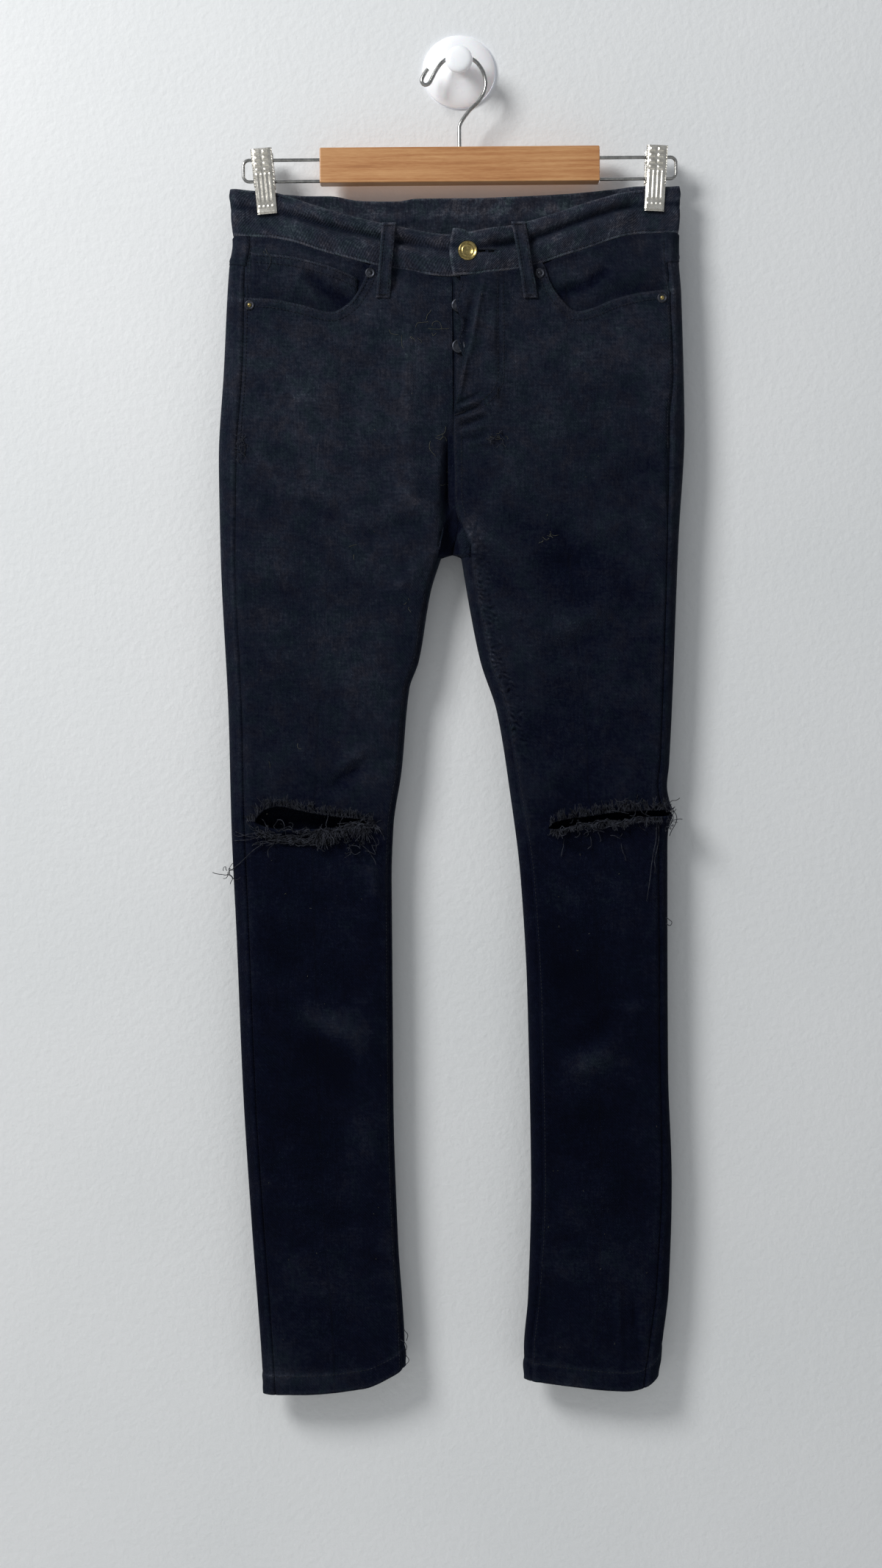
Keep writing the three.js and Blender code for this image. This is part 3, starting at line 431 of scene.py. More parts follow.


# Fading and dirt, with painted shade in the centre-front trough, over the left thigh and under the torn knees: (x, z,
# half width, half height, amount) on each face

FADES_AND_SHADES = [
    (-110, -300, 90, 110, 0.16), (-120, -520, 70, 120, 0.14), (110, -260, 70, 60, 0.10),
    (-152, -168, 40, 14, 0.12), (20, -230, 22, 60, 0.12), (76, -512, 34, 30, 0.12),
    (-118, -846, 42, 15, 0.26), (-86, -950, 20, 26, 0.20), (110, -882, 34, 12, 0.24), (150, -833, 20, 6, 0.18),
    (88, -740, 16, 18, 0.18), (-150, -1070, 30, 20, 0.20), (-104, -1084, 26, 14, 0.16),
    (-100, -1030, 14, 10, 0.18), (84, -1064, 24, 22, 0.18), (150, -1090, 16, 40, 0.12),
    (-168, -1150, 18, 24, 0.30), (-120, -1160, 60, 8, 0.16), (110, -1160, 60, 8, 0.20),
    # (-12.5, -378) is painted shade down the trough beside the centre front seam
    (32, -332, 6, 5, -0.20), (-191, -343, 4, 6, -0.20), (-12.5, -378, 3.6, 40, -0.30), (4, -421, 4, 9, 0.04),
    # (-135, -688) and (120, -683) are painted shadow under the torn edges at the knees
    (-135, -688, 52, 7, -0.22), (120, -683, 40, 6, -0.25), (160, -1000, 12, 60, 0.10),
    (-94, -880, 8, 22, 0.16), (-104, -992, 18, 18, 0.14), (-116, -1104, 50, 12, 0.12), (150, -945, 14, 30, 0.12),
    (126, -1057, 24, 26, 0.14), (96, -903, 20, 9, 0.12), (-176, -874, 10, 16, 0.14), (-178, -990, 9, 14, 0.14),
    (-70, -1040, 8, 60, 0.14), (-80, -620, 24, 60, 0.12),
    # (112, -458) is painted shade over the left thigh
    (112, -458, 60, 44, -0.08), (100, -808, 30, 22, -0.20), (-122, -884, 34, 20, -0.18),
    (140, -960, 30, 60, -0.10), (-140, -960, 40, 40, -0.08), (60, -420, 40, 26, -0.08),
]
# Paler towards the top and darkest over the calves: partly wear, partly painted light falling from above; paler again
# at the worn hem
WEAR_AND_TOP_LIGHT = through((-100, 0.66), (-250, 0.60), (-420, 0.52), (-560, 0.42), (-640, 0.36), (-700, 0.20),
                    (-860, 0.13), (-1040, 0.16), (-1173, 0.26))


def fade_and_shade(face, x, z):
    """How far the black has washed out, most at the seams and edges, with painted light and shade laid in: paler over
    the upper thighs, partly from painted light from above, creases painted pale on their ridges and dark in their
    troughs, and a painted shadow under the waistband seam.
    """
    amount = WEAR_AND_TOP_LIGHT(z) - 0.04 * ramp(x, 20, 120) * ramp(-z, 300, 420) * ramp(z, -700, -640)
    for px, pz, rx, rz, strength in FADES_AND_SHADES:
        amount = amount + strength * np.exp(-(((x - px) / rx) ** 2) - ((z - pz) / rz) ** 2)
    amount = amount + 0.16 * bell(np.abs(x - side_seam_x(x, z)), 3.2, 1.6)
    inward = (x - inseam_x(x, z)) * side_of(x, z)
    left_thigh = ramp(x, -8, 2) * ramp(z, -680, -560)
    tone = (0.10 + 0.10 * left_thigh) * bell(inward, 3.6, 3)
    tone = tone + (0.07 + 0.26 * puckered(inward, z)) * left_thigh * plateau(inward, 9, 5, 9)
    amount = amount + np.where(face < 0, tone * ramp(-z, 402, 414), 0)
    # Painted light and shade on the creases: ridges painted paler, troughs painted darker
    amount = amount + 0.05 * folds(face, x, z) * ramp(-z, 130, 215)
    amount = amount + 0.16 * bell(from_edges(x, z), 0, 3.0)
    up = z - by_side(HEM_EDGE, x, z, x)
    amount = amount + ramp(-z, 1120, 1140) * (0.28 * bell(up, 1, 2.2) + 0.24 * bell(up, 17, 1.6))
    # Painted shadow along the front just under the waistband's lower edge
    amount = amount - 0.14 * bell(z - BAND_BOTTOM["front"](x), -2.5, 3) * (face < 0)
    mouth = z - by_side(POCKET_MOUTH, x, z, x)
    near_pocket = np.where(side_of(x, z) < 0, ramp(-x, 76, 82), ramp(x, 70, 76)) * (face < 0)
    amount = amount + near_pocket * 0.18 * bell(mouth, -1.0, 2.0)
    return amount


# Mesh making

rng = np.random.default_rng(7)


def link(name, mesh, finish):
    piece = bpy.data.objects.new(name, mesh)
    bpy.context.scene.collection.objects.link(piece)
    mesh.materials.clear()
    mesh.materials.append(finish)
    return piece


def mesh_of(bm, name):
    mesh = bpy.data.meshes.new(name)
    bm.to_mesh(mesh)
    bm.free()
    return mesh


def smooth(mesh):
    for polygon in mesh.polygons:
        polygon.use_smooth = True


def thicken(piece, thickness):
    """Gives a shell its thickness, inwards from the face that was modelled."""
    wall = piece.modifiers.new("thickness", "SOLIDIFY")
    wall.thickness = thickness * MM
    wall.offset = -1


def belongs(piece, slot, *nodes):
    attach(piece, "root")
    if nodes:
        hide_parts(*nodes)
    return piece


def unrolled(side, face, x, y, z):
    """Distance across the cut cloth, which carries on round the outer fold from front to back."""
    sign = SIGN[side]
    round_fold = HALF_FOLD - np.abs(y - MID)
    outer_half = (x - (OUTER[side](z) + inner_edge(side, z)) / 2) * sign > 0
    flat = x + np.where(outer_half, sign, -sign) * round_fold
    return np.where(face < 0, flat, 2 * (OUTER[side](z) + sign * HALF_FOLD) - flat)


def grid_mesh(name, columns, rows, point, keep=None):
    """A grid bent by point(columns, rows), which gives x, y, z and, if it likes, a fading, with any painted light and
    shade in it, and a distance across the cut cloth. Otherwise the cloth's own measure is taken along the grid.
    keep(columns, rows, x, z) says which quads stay, from their middles."""
    bm = bmesh.new()
    bmesh.ops.create_grid(bm, x_segments=len(columns) - 1, y_segments=len(rows) - 1, size=0.5)
    mesh = mesh_of(bm, name)
    flat = np.empty(len(mesh.vertices) * 3)
    mesh.vertices.foreach_get("co", flat)
    flat = flat.reshape(-1, 3)
    i = np.rint((flat[:, 0] + 0.5) * (len(columns) - 1)).astype(int)
    j = np.rint((0.5 - flat[:, 1]) * (len(rows) - 1)).astype(int)
    column, row = np.meshgrid(np.asarray(columns, float), np.asarray(rows, float), indexing="ij")
    made = point(column, row)
    x, y, z = (np.broadcast_to(np.asarray(values, float), column.shape) for values in made[:3])
    spots = np.stack([x, y, z], axis=-1)
    faded_and_shaded = np.broadcast_to(np.asarray(made[3] if len(made) > 3 else 0.5, float), column.shape)
    step_across = np.linalg.norm(np.diff(spots, axis=0), axis=-1)
    step_down = np.linalg.norm(np.diff(spots, axis=1), axis=-1)
    u = np.concatenate([np.zeros((1, len(rows))), np.cumsum(step_across, axis=0)])
    u = u - u[len(columns) // 2][None, :]
    v = -np.concatenate([np.zeros((len(columns), 1)), np.cumsum(step_down, axis=1)], axis=1)
    if len(made) > 4:
        u, v = made[4], z
    mesh.vertices.foreach_set("co", (spots[i, j] * MM).ravel())
    attribute = mesh.attributes.new("fade_and_shade", "FLOAT", "POINT")
    attribute.data.foreach_set("value", faded_and_shaded[i, j].astype(np.float32))
    corners = np.empty(len(mesh.loops), dtype=np.int32)
    mesh.loops.foreach_get("vertex_index", corners)
    layer = mesh.uv_layers.new(name="cloth")
    cloth = np.stack([u[i, j], v[i, j]], axis=-1)[corners] * MM
    layer.data.foreach_set("uv", cloth.ravel())
    if keep is not None:
        bm = bmesh.new()
        bm.from_mesh(mesh)
        bm.verts.ensure_lookup_table()
        unwanted = []
        for facet in bm.faces:
            ids = [vert.index for vert in facet.verts]
            mid = spots[i[ids], j[ids]].mean(axis=0)
            if not keep(column[i[ids], j[ids]].mean(), row[i[ids], j[ids]].mean(), mid[0], mid[2]):
                unwanted.append(facet)
        bmesh.ops.delete(bm, geom=unwanted, context="FACES")
        bm.to_mesh(mesh)
        bm.free()
    mesh.update()
    return mesh


def face_outwards(mesh, middle=MID * MM):
    """Turns the faces to look away from the middle plane of the garment."""
    mesh.update()
    centres = np.empty(len(mesh.polygons) * 3)
    normals = np.empty(len(mesh.polygons) * 3)
    mesh.polygons.foreach_get("center", centres)
    mesh.polygons.foreach_get("normal", normals)
    if np.sum((centres[1::3] - middle) * normals[1::3]) < 0:
        mesh.flip_normals()


def joined(name, meshes):
    bm = bmesh.new()
    for mesh in meshes:
        bm.from_mesh(mesh)
    return mesh_of(bm, name)


def cloth_piece(name, mesh, thickness, nodes):
    """A denim shell whose outer face is the mesh and whose thickness goes inwards."""
    face_outwards(mesh)
    smooth(mesh)
    piece = link(name, mesh, DENIM_CLOTH)
    thicken(piece, thickness)
    return belongs(piece, "denim", *nodes)


def evenly(start, end, step):
    return np.linspace(start, end, max(2, int(round(abs(end - start) / step)) + 1))


# Materials


def paint(hex_colour):
    """An sRGB hex colour as a linear one."""
    levels = [int(hex_colour[k:k + 2], 16) / 255 for k in (0, 2, 4)]
    linear = [v / 12.92 if v <= 0.04045 else ((v + 0.055) / 1.055) ** 2.4 for v in levels]
    return (*linear, 1.0)


def node(tree, kind, inputs=(), stops=(), **settings):
    """Adds a node. Inputs take a value or another node's output; stops are a ramp's colours."""
    made = tree.nodes.new(kind)
    for name, value in settings.items():
        setattr(made, name, value)
    for key, value in dict(inputs).items():
        if isinstance(value, bpy.types.NodeSocket):
            tree.links.new(value, made.inputs[key])
        else:
            made.inputs[key].default_value = value
    for k, (position, colour) in enumerate(stops):
        element = made.color_ramp.elements[k] if k < 2 else made.color_ramp.elements.new(position)
        element.position = position
        element.color = paint(colour)
    return made


def material(name):
    made = bpy.data.materials.new(name)
    made.use_nodes = True
    made.node_tree.nodes.clear()
    return made, made.node_tree


def finish_material(tree, shader):
    node(tree, "ShaderNodeOutputMaterial", {"Surface": shader})


def noise(tree, vector, scale, detail, roughness=0.5, **others):
    return node(tree, "ShaderNodeTexNoise", {
        "Vector": vector, "Scale": scale, "Detail": detail, "Roughness": roughness, **others}).outputs["Fac"]


def stretched(tree, vector, scale):
    return node(tree, "ShaderNodeMapping", {"Vector": vector, "Scale": scale}).outputs[0]


def added(tree, base, value, weight):
    """The base and a share of another value."""
    return node(tree, "ShaderNodeMath", {0: value, 1: weight, 2: base}, operation="MULTIPLY_ADD").outputs[0]


def coloured(tree, value, *stops):
    return node(tree, "ShaderNodeValToRGB", {"Fac": value}, stops).outputs[0]


def bumped(tree, height, strength, distance):
    return node(tree, "ShaderNodeBump", {"Height": height, "Strength": strength, "Distance": distance}).outputs[0]


def shaded(tree, colour, roughness, **others):
    """A principled surface. Underscores in the other inputs' names stand for spaces."""
    inputs = {key.replace("_", " "): value for key, value in others.items()}
    return node(tree, "ShaderNodeBsdfPrincipled", {"Base Color": colour, "Roughness": roughness, **inputs}).outputs[0]


def object_spot(tree):
    return node(tree, "ShaderNodeTexCoord").outputs["Object"]


def black_stretch_denim():
    """Black cotton twill with elastane: a matt charcoal with a blue cast, slubby down the warp,
    washed paler along every seam and edge, so folds read by soft shade and not by shine."""
    made, tree = material("black_stretch_denim")
    cloth = node(tree, "ShaderNodeTexCoord").outputs["UV"]
    # The fade_and_shade attribute holds wear together with painted light and shade: painted shade in creases, hollows
    # and under the waistband, painted light on crease ridges and towards the top
    faded_and_shaded = node(tree, "ShaderNodeAttribute", attribute_name="fade_and_shade").outputs["Fac"]
    # Twill lines 1.7 mm apart: the real 0.9 mm would be too fine to show.
    twill = node(tree, "ShaderNodeTexWave", {"Vector": cloth, "Scale": 260, "Distortion": 1.6, "Detail": 2.0,
                 "Detail Scale": 1.4}, bands_direction="DIAGONAL").outputs["Fac"]
    # Slubs are thick places in the warp, 1.6 mm wide and 17 mm long.
    slub = noise(tree, stretched(tree, cloth, (640, 60, 1)), 1.0, 3.0, 0.65)
    weft = noise(tree, stretched(tree, cloth, (80, 560, 1)), 1.0, 2.0)
    nap = noise(tree, cloth, 420, 3.0, 0.7)
    # Uneven dye in patches of 30 and of 7 mm
    patches = noise(tree, cloth, 33, 5.0, 0.62)
    blotches = noise(tree, cloth, 140, 4.0, 0.7)
    uneven = faded_and_shaded
    for layer, weight in ((patches, 0.66), (blotches, 0.56), (slub, 0.40), (weft, 0.26), (nap, 0.80)):
        uneven = added(tree, uneven, layer, weight)
    # The noises together average 1.34, which the ramp's scale takes off again.
    washed = node(tree, "ShaderNodeMapRange", {"Value": uneven, "From Min": 1.30, "From Max": 2.60}).outputs[0]
    dye = coloured(
        tree, washed, (0.0, "020515"), (0.22, "070c1f"), (0.5, "1b202d"), (0.72, "2e323e"), (1.0, "5b5f6a"))
    # Grey-green and brown casts where the dye has turned
    hue = coloured(tree, noise(tree, cloth, 48, 5.0, 0.65), (0.4, "9ac4b4"), (0.5, "c4c9cf"), (0.6, "d6c2b8"))
    tinted = node(tree, "ShaderNodeMix", {0: 0.6, 6: dye, 7: hue}, data_type="RGBA", blend_type="MULTIPLY")
    height = added(tree, added(tree, slub, twill, 0.5), nap, 0.7)
    finish_material(tree, shaded(
        tree, tinted.outputs[2], 0.93, IOR=1.5, Specular_IOR_Level=0.05, Sheen_Weight=0.03, Sheen_Roughness=0.6,
        Sheen_Tint=paint("8a8e9c"), Normal=bumped(tree, height, 0.8, 0.0008)))
    return made


def cotton_thread(name, dark, pale, roughness=0.9):
    """Spun cotton: twisted fibres, matt, paler where the dye has worn off the outside."""
    made, tree = material(name)
    spot = object_spot(tree)
    dye = coloured(tree, noise(tree, spot, 260, 3.0), (0.3, dark), (0.75, pale))
    bump = bumped(tree, noise(tree, spot, 2500, 1.0), 0.4, 0.0001)
    finish_material(tree, shaded(tree, dye, roughness, Specular_IOR_Level=0.15, Normal=bump))
    return made


def cast_metal(name, base, tone, roughness, grain=900):
    """Solid or plated metal: a metallic mirror broken by fine scratches and a dulled, rubbed finish."""
    made, tree = material(name)
    spot = object_spot(tree)
    colour = coloured(tree, noise(tree, spot, 180, 5.0, 0.7), (0.35, base), (0.7, tone))
    scratch = noise(tree, spot, grain, 4.0)
    dull = node(tree, "ShaderNodeMapRange", {"Value": scratch, "From Min": 0.3, "From Max": 0.7,
                "To Min": roughness * 0.75, "To Max": roughness * 1.3}).outputs[0]
    finish_material(tree, shaded(tree, colour, dull, Metallic=1.0, Normal=bumped(tree, scratch, 0.12, 0.0001)))
    return made


def lacquered_beech():
    """Stained beech under clear lacquer: honey brown, straight fine grain along the bar with short
    darker flecks, and a soft satin shine."""
    made, tree = material("lacquered_beech")
    spot = object_spot(tree)
    grain = noise(tree, stretched(tree, spot, (9, 330, 330)), 1.0, 6.0, 0.62, Distortion=0.3)
    flecks = noise(tree, stretched(tree, spot, (160, 1500, 1500)), 1.0, 2.0)
    mixed = added(tree, added(tree, grain, flecks, 0.3), noise(tree, spot, 14, 2.0), 0.35)
    colour = coloured(tree, mixed, (0.45, "84532c"), (0.7, "a97345"), (0.82, "b48152"), (1.0, "c29262"))
    finish_material(tree, shaded(tree, colour, 0.42, Coat_Weight=0.25, Coat_Roughness=0.3,
                                 Normal=bumped(tree, mixed, 0.12, 0.0003)))
    return made


def moulded_plastic():
    """Injection-moulded white styrene: clean, faintly cool and softly glossy, with a trace of handling."""
    made, tree = material("moulded_white_plastic")
    haze = noise(tree, object_spot(tree), 60, 4.0)
    gloss = node(tree, "ShaderNodeMapRange", {"Value": haze, "To Min": 0.22, "To Max": 0.36}).outputs[0]
    colour = coloured(tree, haze, (0.3, "f0f2f8"), (0.7, "f8fafe"))
    finish_material(tree, shaded(tree, colour, gloss, IOR=1.55, Subsurface_Weight=0.05))
    return made


def painted_wall():
    """Matt emulsion over a rolled wall: pale grey with a fine orange-peel stipple. Its back is clear,
    so the garment can be seen from behind."""
    made, tree = material("painted_wall")
    spot = object_spot(tree)
    colour = coloured(tree, noise(tree, spot, 3, 3.0), (0.3, "dadde0"), (0.7, "e0e2e5"))
    bump = bumped(tree, noise(tree, spot, 150, 4.0, 0.6), 0.6, 0.0012)
    shader = shaded(tree, colour, 0.85, Specular_IOR_Level=0.2, Normal=bump)
    clear = node(tree, "ShaderNodeBsdfTransparent").outputs[0]
    behind = node(tree, "ShaderNodeNewGeometry").outputs["Backfacing"]
    finish_material(tree, node(tree, "ShaderNodeMixShader", {0: behind, 1: shader, 2: clear}).outputs[0])
    return made


def pale_floor():
    """Pale matt floor paint with faint cloudiness."""
    made, tree = material("pale_floor")
    cloud = noise(tree, object_spot(tree), 5, 4.0)
    finish_material(tree, shaded(tree, coloured(tree, cloud, (0.3, "c9c8c4"), (0.7, "d2d1cd")), 0.8))
    return made


DENIM_CLOTH = black_stretch_denim()
SEWING_THREAD = cotton_thread("core_spun_sewing_thread", "0d0f15", "2b2e38")
FRAYED_COTTON = cotton_thread("frayed_cotton_yarn", "04050a", "3b3e48")
LINT = cotton_thread("cotton_lint", "34352f", "5e5f58")
BRASS = cast_metal("aged_brass", "74663a", "baa874", 0.3)
BLACKENED = cast_metal("blackened_zinc", "24262c", "4e515a", 0.5)
NICKEL = cast_metal("nickel_plated_steel", "cac6bd", "ebe8e0", 0.3, grain=700)
CHROME_WIRE = cast_metal("bright_steel_wire", "8c8c8b", "bdbdbb", 0.2, grain=1200)
BEECH = lacquered_beech()
PLASTIC = moulded_plastic()

# Front and back panels


def settled(side, x, row, top_level, top_edge, edge_of_rip):
    """Rows follow the seam or pocket mouth at the top, the tear at the knee and the hem at the foot."""
    foot = (HEM_EDGE[side](x) - HEM_LEVEL) * ramp(-row, 1080, -HEM_LEVEL)
    head = (top_edge(x) - top_level) * ramp(row, -330, top_level)
    upper, lower = RIP_ROWS
    above = (RIP_UPPER[side](x) - upper) * ramp(-row, 600, -upper)
    below = (RIP_LOWER[side](x) - lower) * ramp(row, -734, lower)
    between = lerp(RIP_UPPER[side](x), RIP_LOWER[side](x), (upper - row) / (upper - lower)) - row
    torn = np.where(row >= upper, above, np.where(row <= lower, below, between))
    return row + head + foot + torn * edge_of_rip


def front_top(side):
    """The front's top edge: the pocket mouth out to the side, and the waistband seam in the middle."""
    def edge(x):
        in_pocket = (x - MOUTH_START[side]) * SIGN[side] > 0
        return np.where(in_pocket, POCKET_MOUTH[side](x), BAND_BOTTOM["front"](x) + 2.2)
    return edge


def leg_rows(top_level, thigh_step):
    rows = [evenly(top_level, -286, 2.8), evenly(-287.4, -342, 1.4), evenly(-345, -380, 3.2),
            evenly(-383, CROTCH, 2.6), evenly(CROTCH - 0.7, SADDLE_FOOT, 0.7),
            evenly(-439, -600, thigh_step), evenly(-603, -640, 3.3),
            evenly(-642.5, RIP_ROWS[0], 2.4), evenly(-665, RIP_ROWS[1], 2.4),
            evenly(-674.4, -700, 2.5), evenly(-703, -1120, 3.3), evenly(-1122.5, HEM_LEVEL, 2.1)]
    return np.concatenate(rows)


def bridged(spot, z):
    """X and y by spot(level), but between the crotch and the top of the inner legs the cloth runs
    straight from one to the other."""
    share = np.clip((CROTCH - z) / (CROTCH - SADDLE_FOOT), 0, 1)
    within = (z < CROTCH) & (z > SADDLE_FOOT)
    high, low = spot(np.full_like(z, CROTCH)), spot(np.full_like(z, SADDLE_FOOT))
    return [np.where(within, lerp(high[k], low[k], share), here) for k, here in enumerate(spot(z)[:2])]


def panel_point(side, turn_at, top_level, top_edge, lift_at):
    def point(column, row):
        z = row
        for _ in range(4):
            turn = unwrapped(turn_at(z, column))
            x = across(side, np.abs(turn), z, 0)
            on_front = ramp(turn, 0.05, 0.4)
            z = settled(side, x, row, top_level, top_edge, on_front)
        face = np.where(unwrapped(turn_at(z, column)) >= 0, -1, 1)
        lift = lift_at(face, x, z)
        x, y = bridged(lambda level: place(side, turn_at(level, column), level, lift), z)
        return x, y, z, fade_and_shade(face, x, z), unrolled(side, face, x, y, z)
    return point


def under_band(x, z):
    """The front and the facing sink a little where the waistband laps over them."""
    return -1.2 * ramp(z, BAND_BOTTOM["front"](x) - 1.6, BAND_BOTTOM["front"](x) + 0.4)


def front_panel(side):
    def turn_at(z, column):
        seam = turn_from_outer(side, z, SIDE_SEAM[side](z) + 0.1)
        edge = turn_from_inner(side, z, FRONT_EDGE[side](z))
        near_seam = lerp(seam, 1.15, np.clip(column / 1.15, 0, 1))
        return np.where(column < 1.15, near_seam, np.where(column < 2, column, lerp(2, edge, column - 2)))

    def lift_at(face, x, z):
        in_pocket = ramp((x - MOUTH_START[side]) * SIGN[side], -1, 5)
        mouth = POCKET_MOUTH[side](x) - z
        rolled = in_pocket * (0.9 * bell(mouth, 2.5, 3.5) - 1.1 * bell(mouth, 0, 0.9))
        return rolled + (1 - in_pocket) * under_band(x, z)

    top = WAIST_LEVEL
    near_fly = evenly(1.78, 2, 0.008) if side == "left" else evenly(1.78, 2, 0.018)
    columns = np.concatenate([evenly(0, 1.15, 0.28), evenly(1.17, 1.77, 0.018), near_fly, evenly(2.08, 3, 0.08)])

    def keep(column, row, x, z):
        in_rip = RIP_ROWS[1] < row < RIP_ROWS[0] and RIP_SPAN[side][0] < x < RIP_SPAN[side][1]
        return not (in_rip and RIP_UPPER[side](x) - RIP_LOWER[side](x) > 0.9)

    point = panel_point(side, turn_at, top, front_top(side), lift_at)
    mesh = grid_mesh(f"{side}_front", columns, leg_rows(top, 1.2), point, keep)
    if side == "right":
        face_outwards(mesh)
        mesh = joined("right_front", [mesh, allowance(-1, -318, -400, 2.4)])
    return cloth_piece(f"{side}_front_panel", mesh, DENIM, [f"{side}_front"])


def back_turns(side):
    def turn_at(z, column):
        centre = -turn_from_inner(side, z, 0.15)
        round_leg = turn_from_inner(side, z, FRONT_EDGE[side](z) + 1.4) - 6
        start = np.where(z > CROTCH - 0.001, centre, round_leg)
        seam = turn_from_outer(side, z, SIDE_SEAM[side](z) + 1.6)
        near_seam = lerp(0.7, seam, np.clip((column - 0.7) / 0.3, 0, 1))
        inner = lerp(start, -2, (column + 4) / 2)
        return np.where(column < -2, inner, np.where(column < 0.7, column, near_seam))
    return turn_at


# X of the fold over which the left side of the saddle turns down into the dark
SADDLE_FOLD = through((-400, -6), (-410, 0), (-418, -4.6), (-426, -3.4), (-434, -2))


def saddle(side):
    """The back comes forward under the crotch, to the inner seams on the front. It lies deep between
    the legs, and on the left it also rounds forward over the fold."""
    def spot(level, column):
        edge = turn_from_inner(side, level, FRONT_EDGE[side](level) + 1.2)
        turn = lerp(edge, turn_from_inner(side, level, 0.1), column)
        x = across(side, turn, level, 0)
        deep = 1 if side == "right" else ramp(SADDLE_FOLD(level) - x, -0.8, 1.2)
        lowered = 3.2 * deep * ramp(column, 0, 0.3) * ramp(-level, 398, 408) * ramp(level, -436, -430)
        return x, place(side, turn, level, -1.5 - lowered, True)[1], deep

    def point(column, row):
        x, y = bridged(lambda level: spot(level, column), row)
        # The saddle is painted darker where it lies deep between the legs: painted shade
        return x, y, row, fade_and_shade(-1, x, row) - 0.35 * spot(row, column)[2]

    rows = np.concatenate([evenly(-394, CROTCH, 1.8), evenly(CROTCH - 0.7, SADDLE_FOOT, 0.7)])
    return grid_mesh(f"{side}_saddle", np.linspace(0, 1, 13), rows, point)


def allowance(face, top, foot, depth):
    """The turned-in edges of the centre seam, as a strip that closes it from within."""
    def point(column, row):
        x, y, z = on(face, CENTRE(row) + column, row, -depth, True)
        return x, y, z, 0.3

    mesh = grid_mesh("allowance", evenly(-5, 5, 2), evenly(top, foot, 6), point)
    face_outwards(mesh)
    return mesh


def back_panel(side):
    turn_at = back_turns(side)

    def lift_at(face, x, z):
        to_outer, to_inner = np.abs(OUTER[side](z) - x), np.abs(inner_edge(side, z) - x)
        under_side = ramp(to_outer - SIDE_SEAM[side](z), -0.8, 0.4) * (to_outer < 24)
        under_inseam = ramp(to_inner - FRONT_EDGE[side](z), -0.8, 0.4) * (to_inner < 24) * (z < CROTCH)
        under_front = -1.4 * np.maximum(under_side, under_inseam) * (face < 0)
        return under_front - 1.0 * ramp(z, YOKE_SEAM(x) - 1.5, YOKE_SEAM(x) + 0.5) * (face > 0)

    def keep(column, row, x, z):
        return side == "right" or not (RIP_ROWS[1] < row < RIP_ROWS[0] and column > 0.12)

    columns = np.concatenate([evenly(-4, -2.05, 0.1), evenly(-2, -1, 0.022), evenly(-0.9, 0.7, 0.1),
                              evenly(0.76, 1, 0.03)])
    point = panel_point(side, turn_at, YOKE_LEVEL, YOKE_SEAM, lift_at)
    body = grid_mesh(f"{side}_back", columns, leg_rows(YOKE_LEVEL, 3.3), point, keep)
    parts = [body, saddle(side)]
    for part in parts:
        face_outwards(part)
    if side == "right":
        parts.append(allowance(1, -218, -424, 2.2))
    mesh = joined(f"{side}_back", parts)
    return cloth_piece(f"{side}_back_panel", mesh, DENIM, [f"{side}_back"])


def yoke(side):
    turn_at = back_turns(side)

    def point(column, row):
        share = (WAIST_LEVEL - row) / (WAIST_LEVEL - YOKE_LEVEL)
        z = row
        for _ in range(4):
            turn = turn_at(z, column)
            x = across(side, np.abs(turn), z, 0)
            top = np.where(turn > 0, BAND_BOTTOM["front"](x), BAND_BOTTOM["back"](x)) + 2
            z = lerp(top, YOKE_SEAM(x) - 0.8, share)
        face = np.where(turn >= 0, -1, 1)
        tucked = -1.2 * ramp(z, top - 3.6, top - 1.8)
        x, y, z = place(side, turn_at(z, column), z, 0.4 + tucked)
        return x, y, z, fade_and_shade(face, x, z), unrolled(side, face, x, y, z)

    columns = np.concatenate([evenly(-4, -2.05, 0.15), evenly(-2, -1, 0.025), evenly(-0.9, 1, 0.1)])
    mesh = grid_mesh(f"{side}_yoke", columns, evenly(WAIST_LEVEL, YOKE_LEVEL, 1.6), point)
    return cloth_piece(f"{side}_yoke_panel", mesh, DENIM, [f"{side}_yoke"])


# Waistband: from beneath the tab, round by the right side and the back, to the tab's end


BENEATH_TAB = 8
WAIST_BUTTON = (6.3, -169)


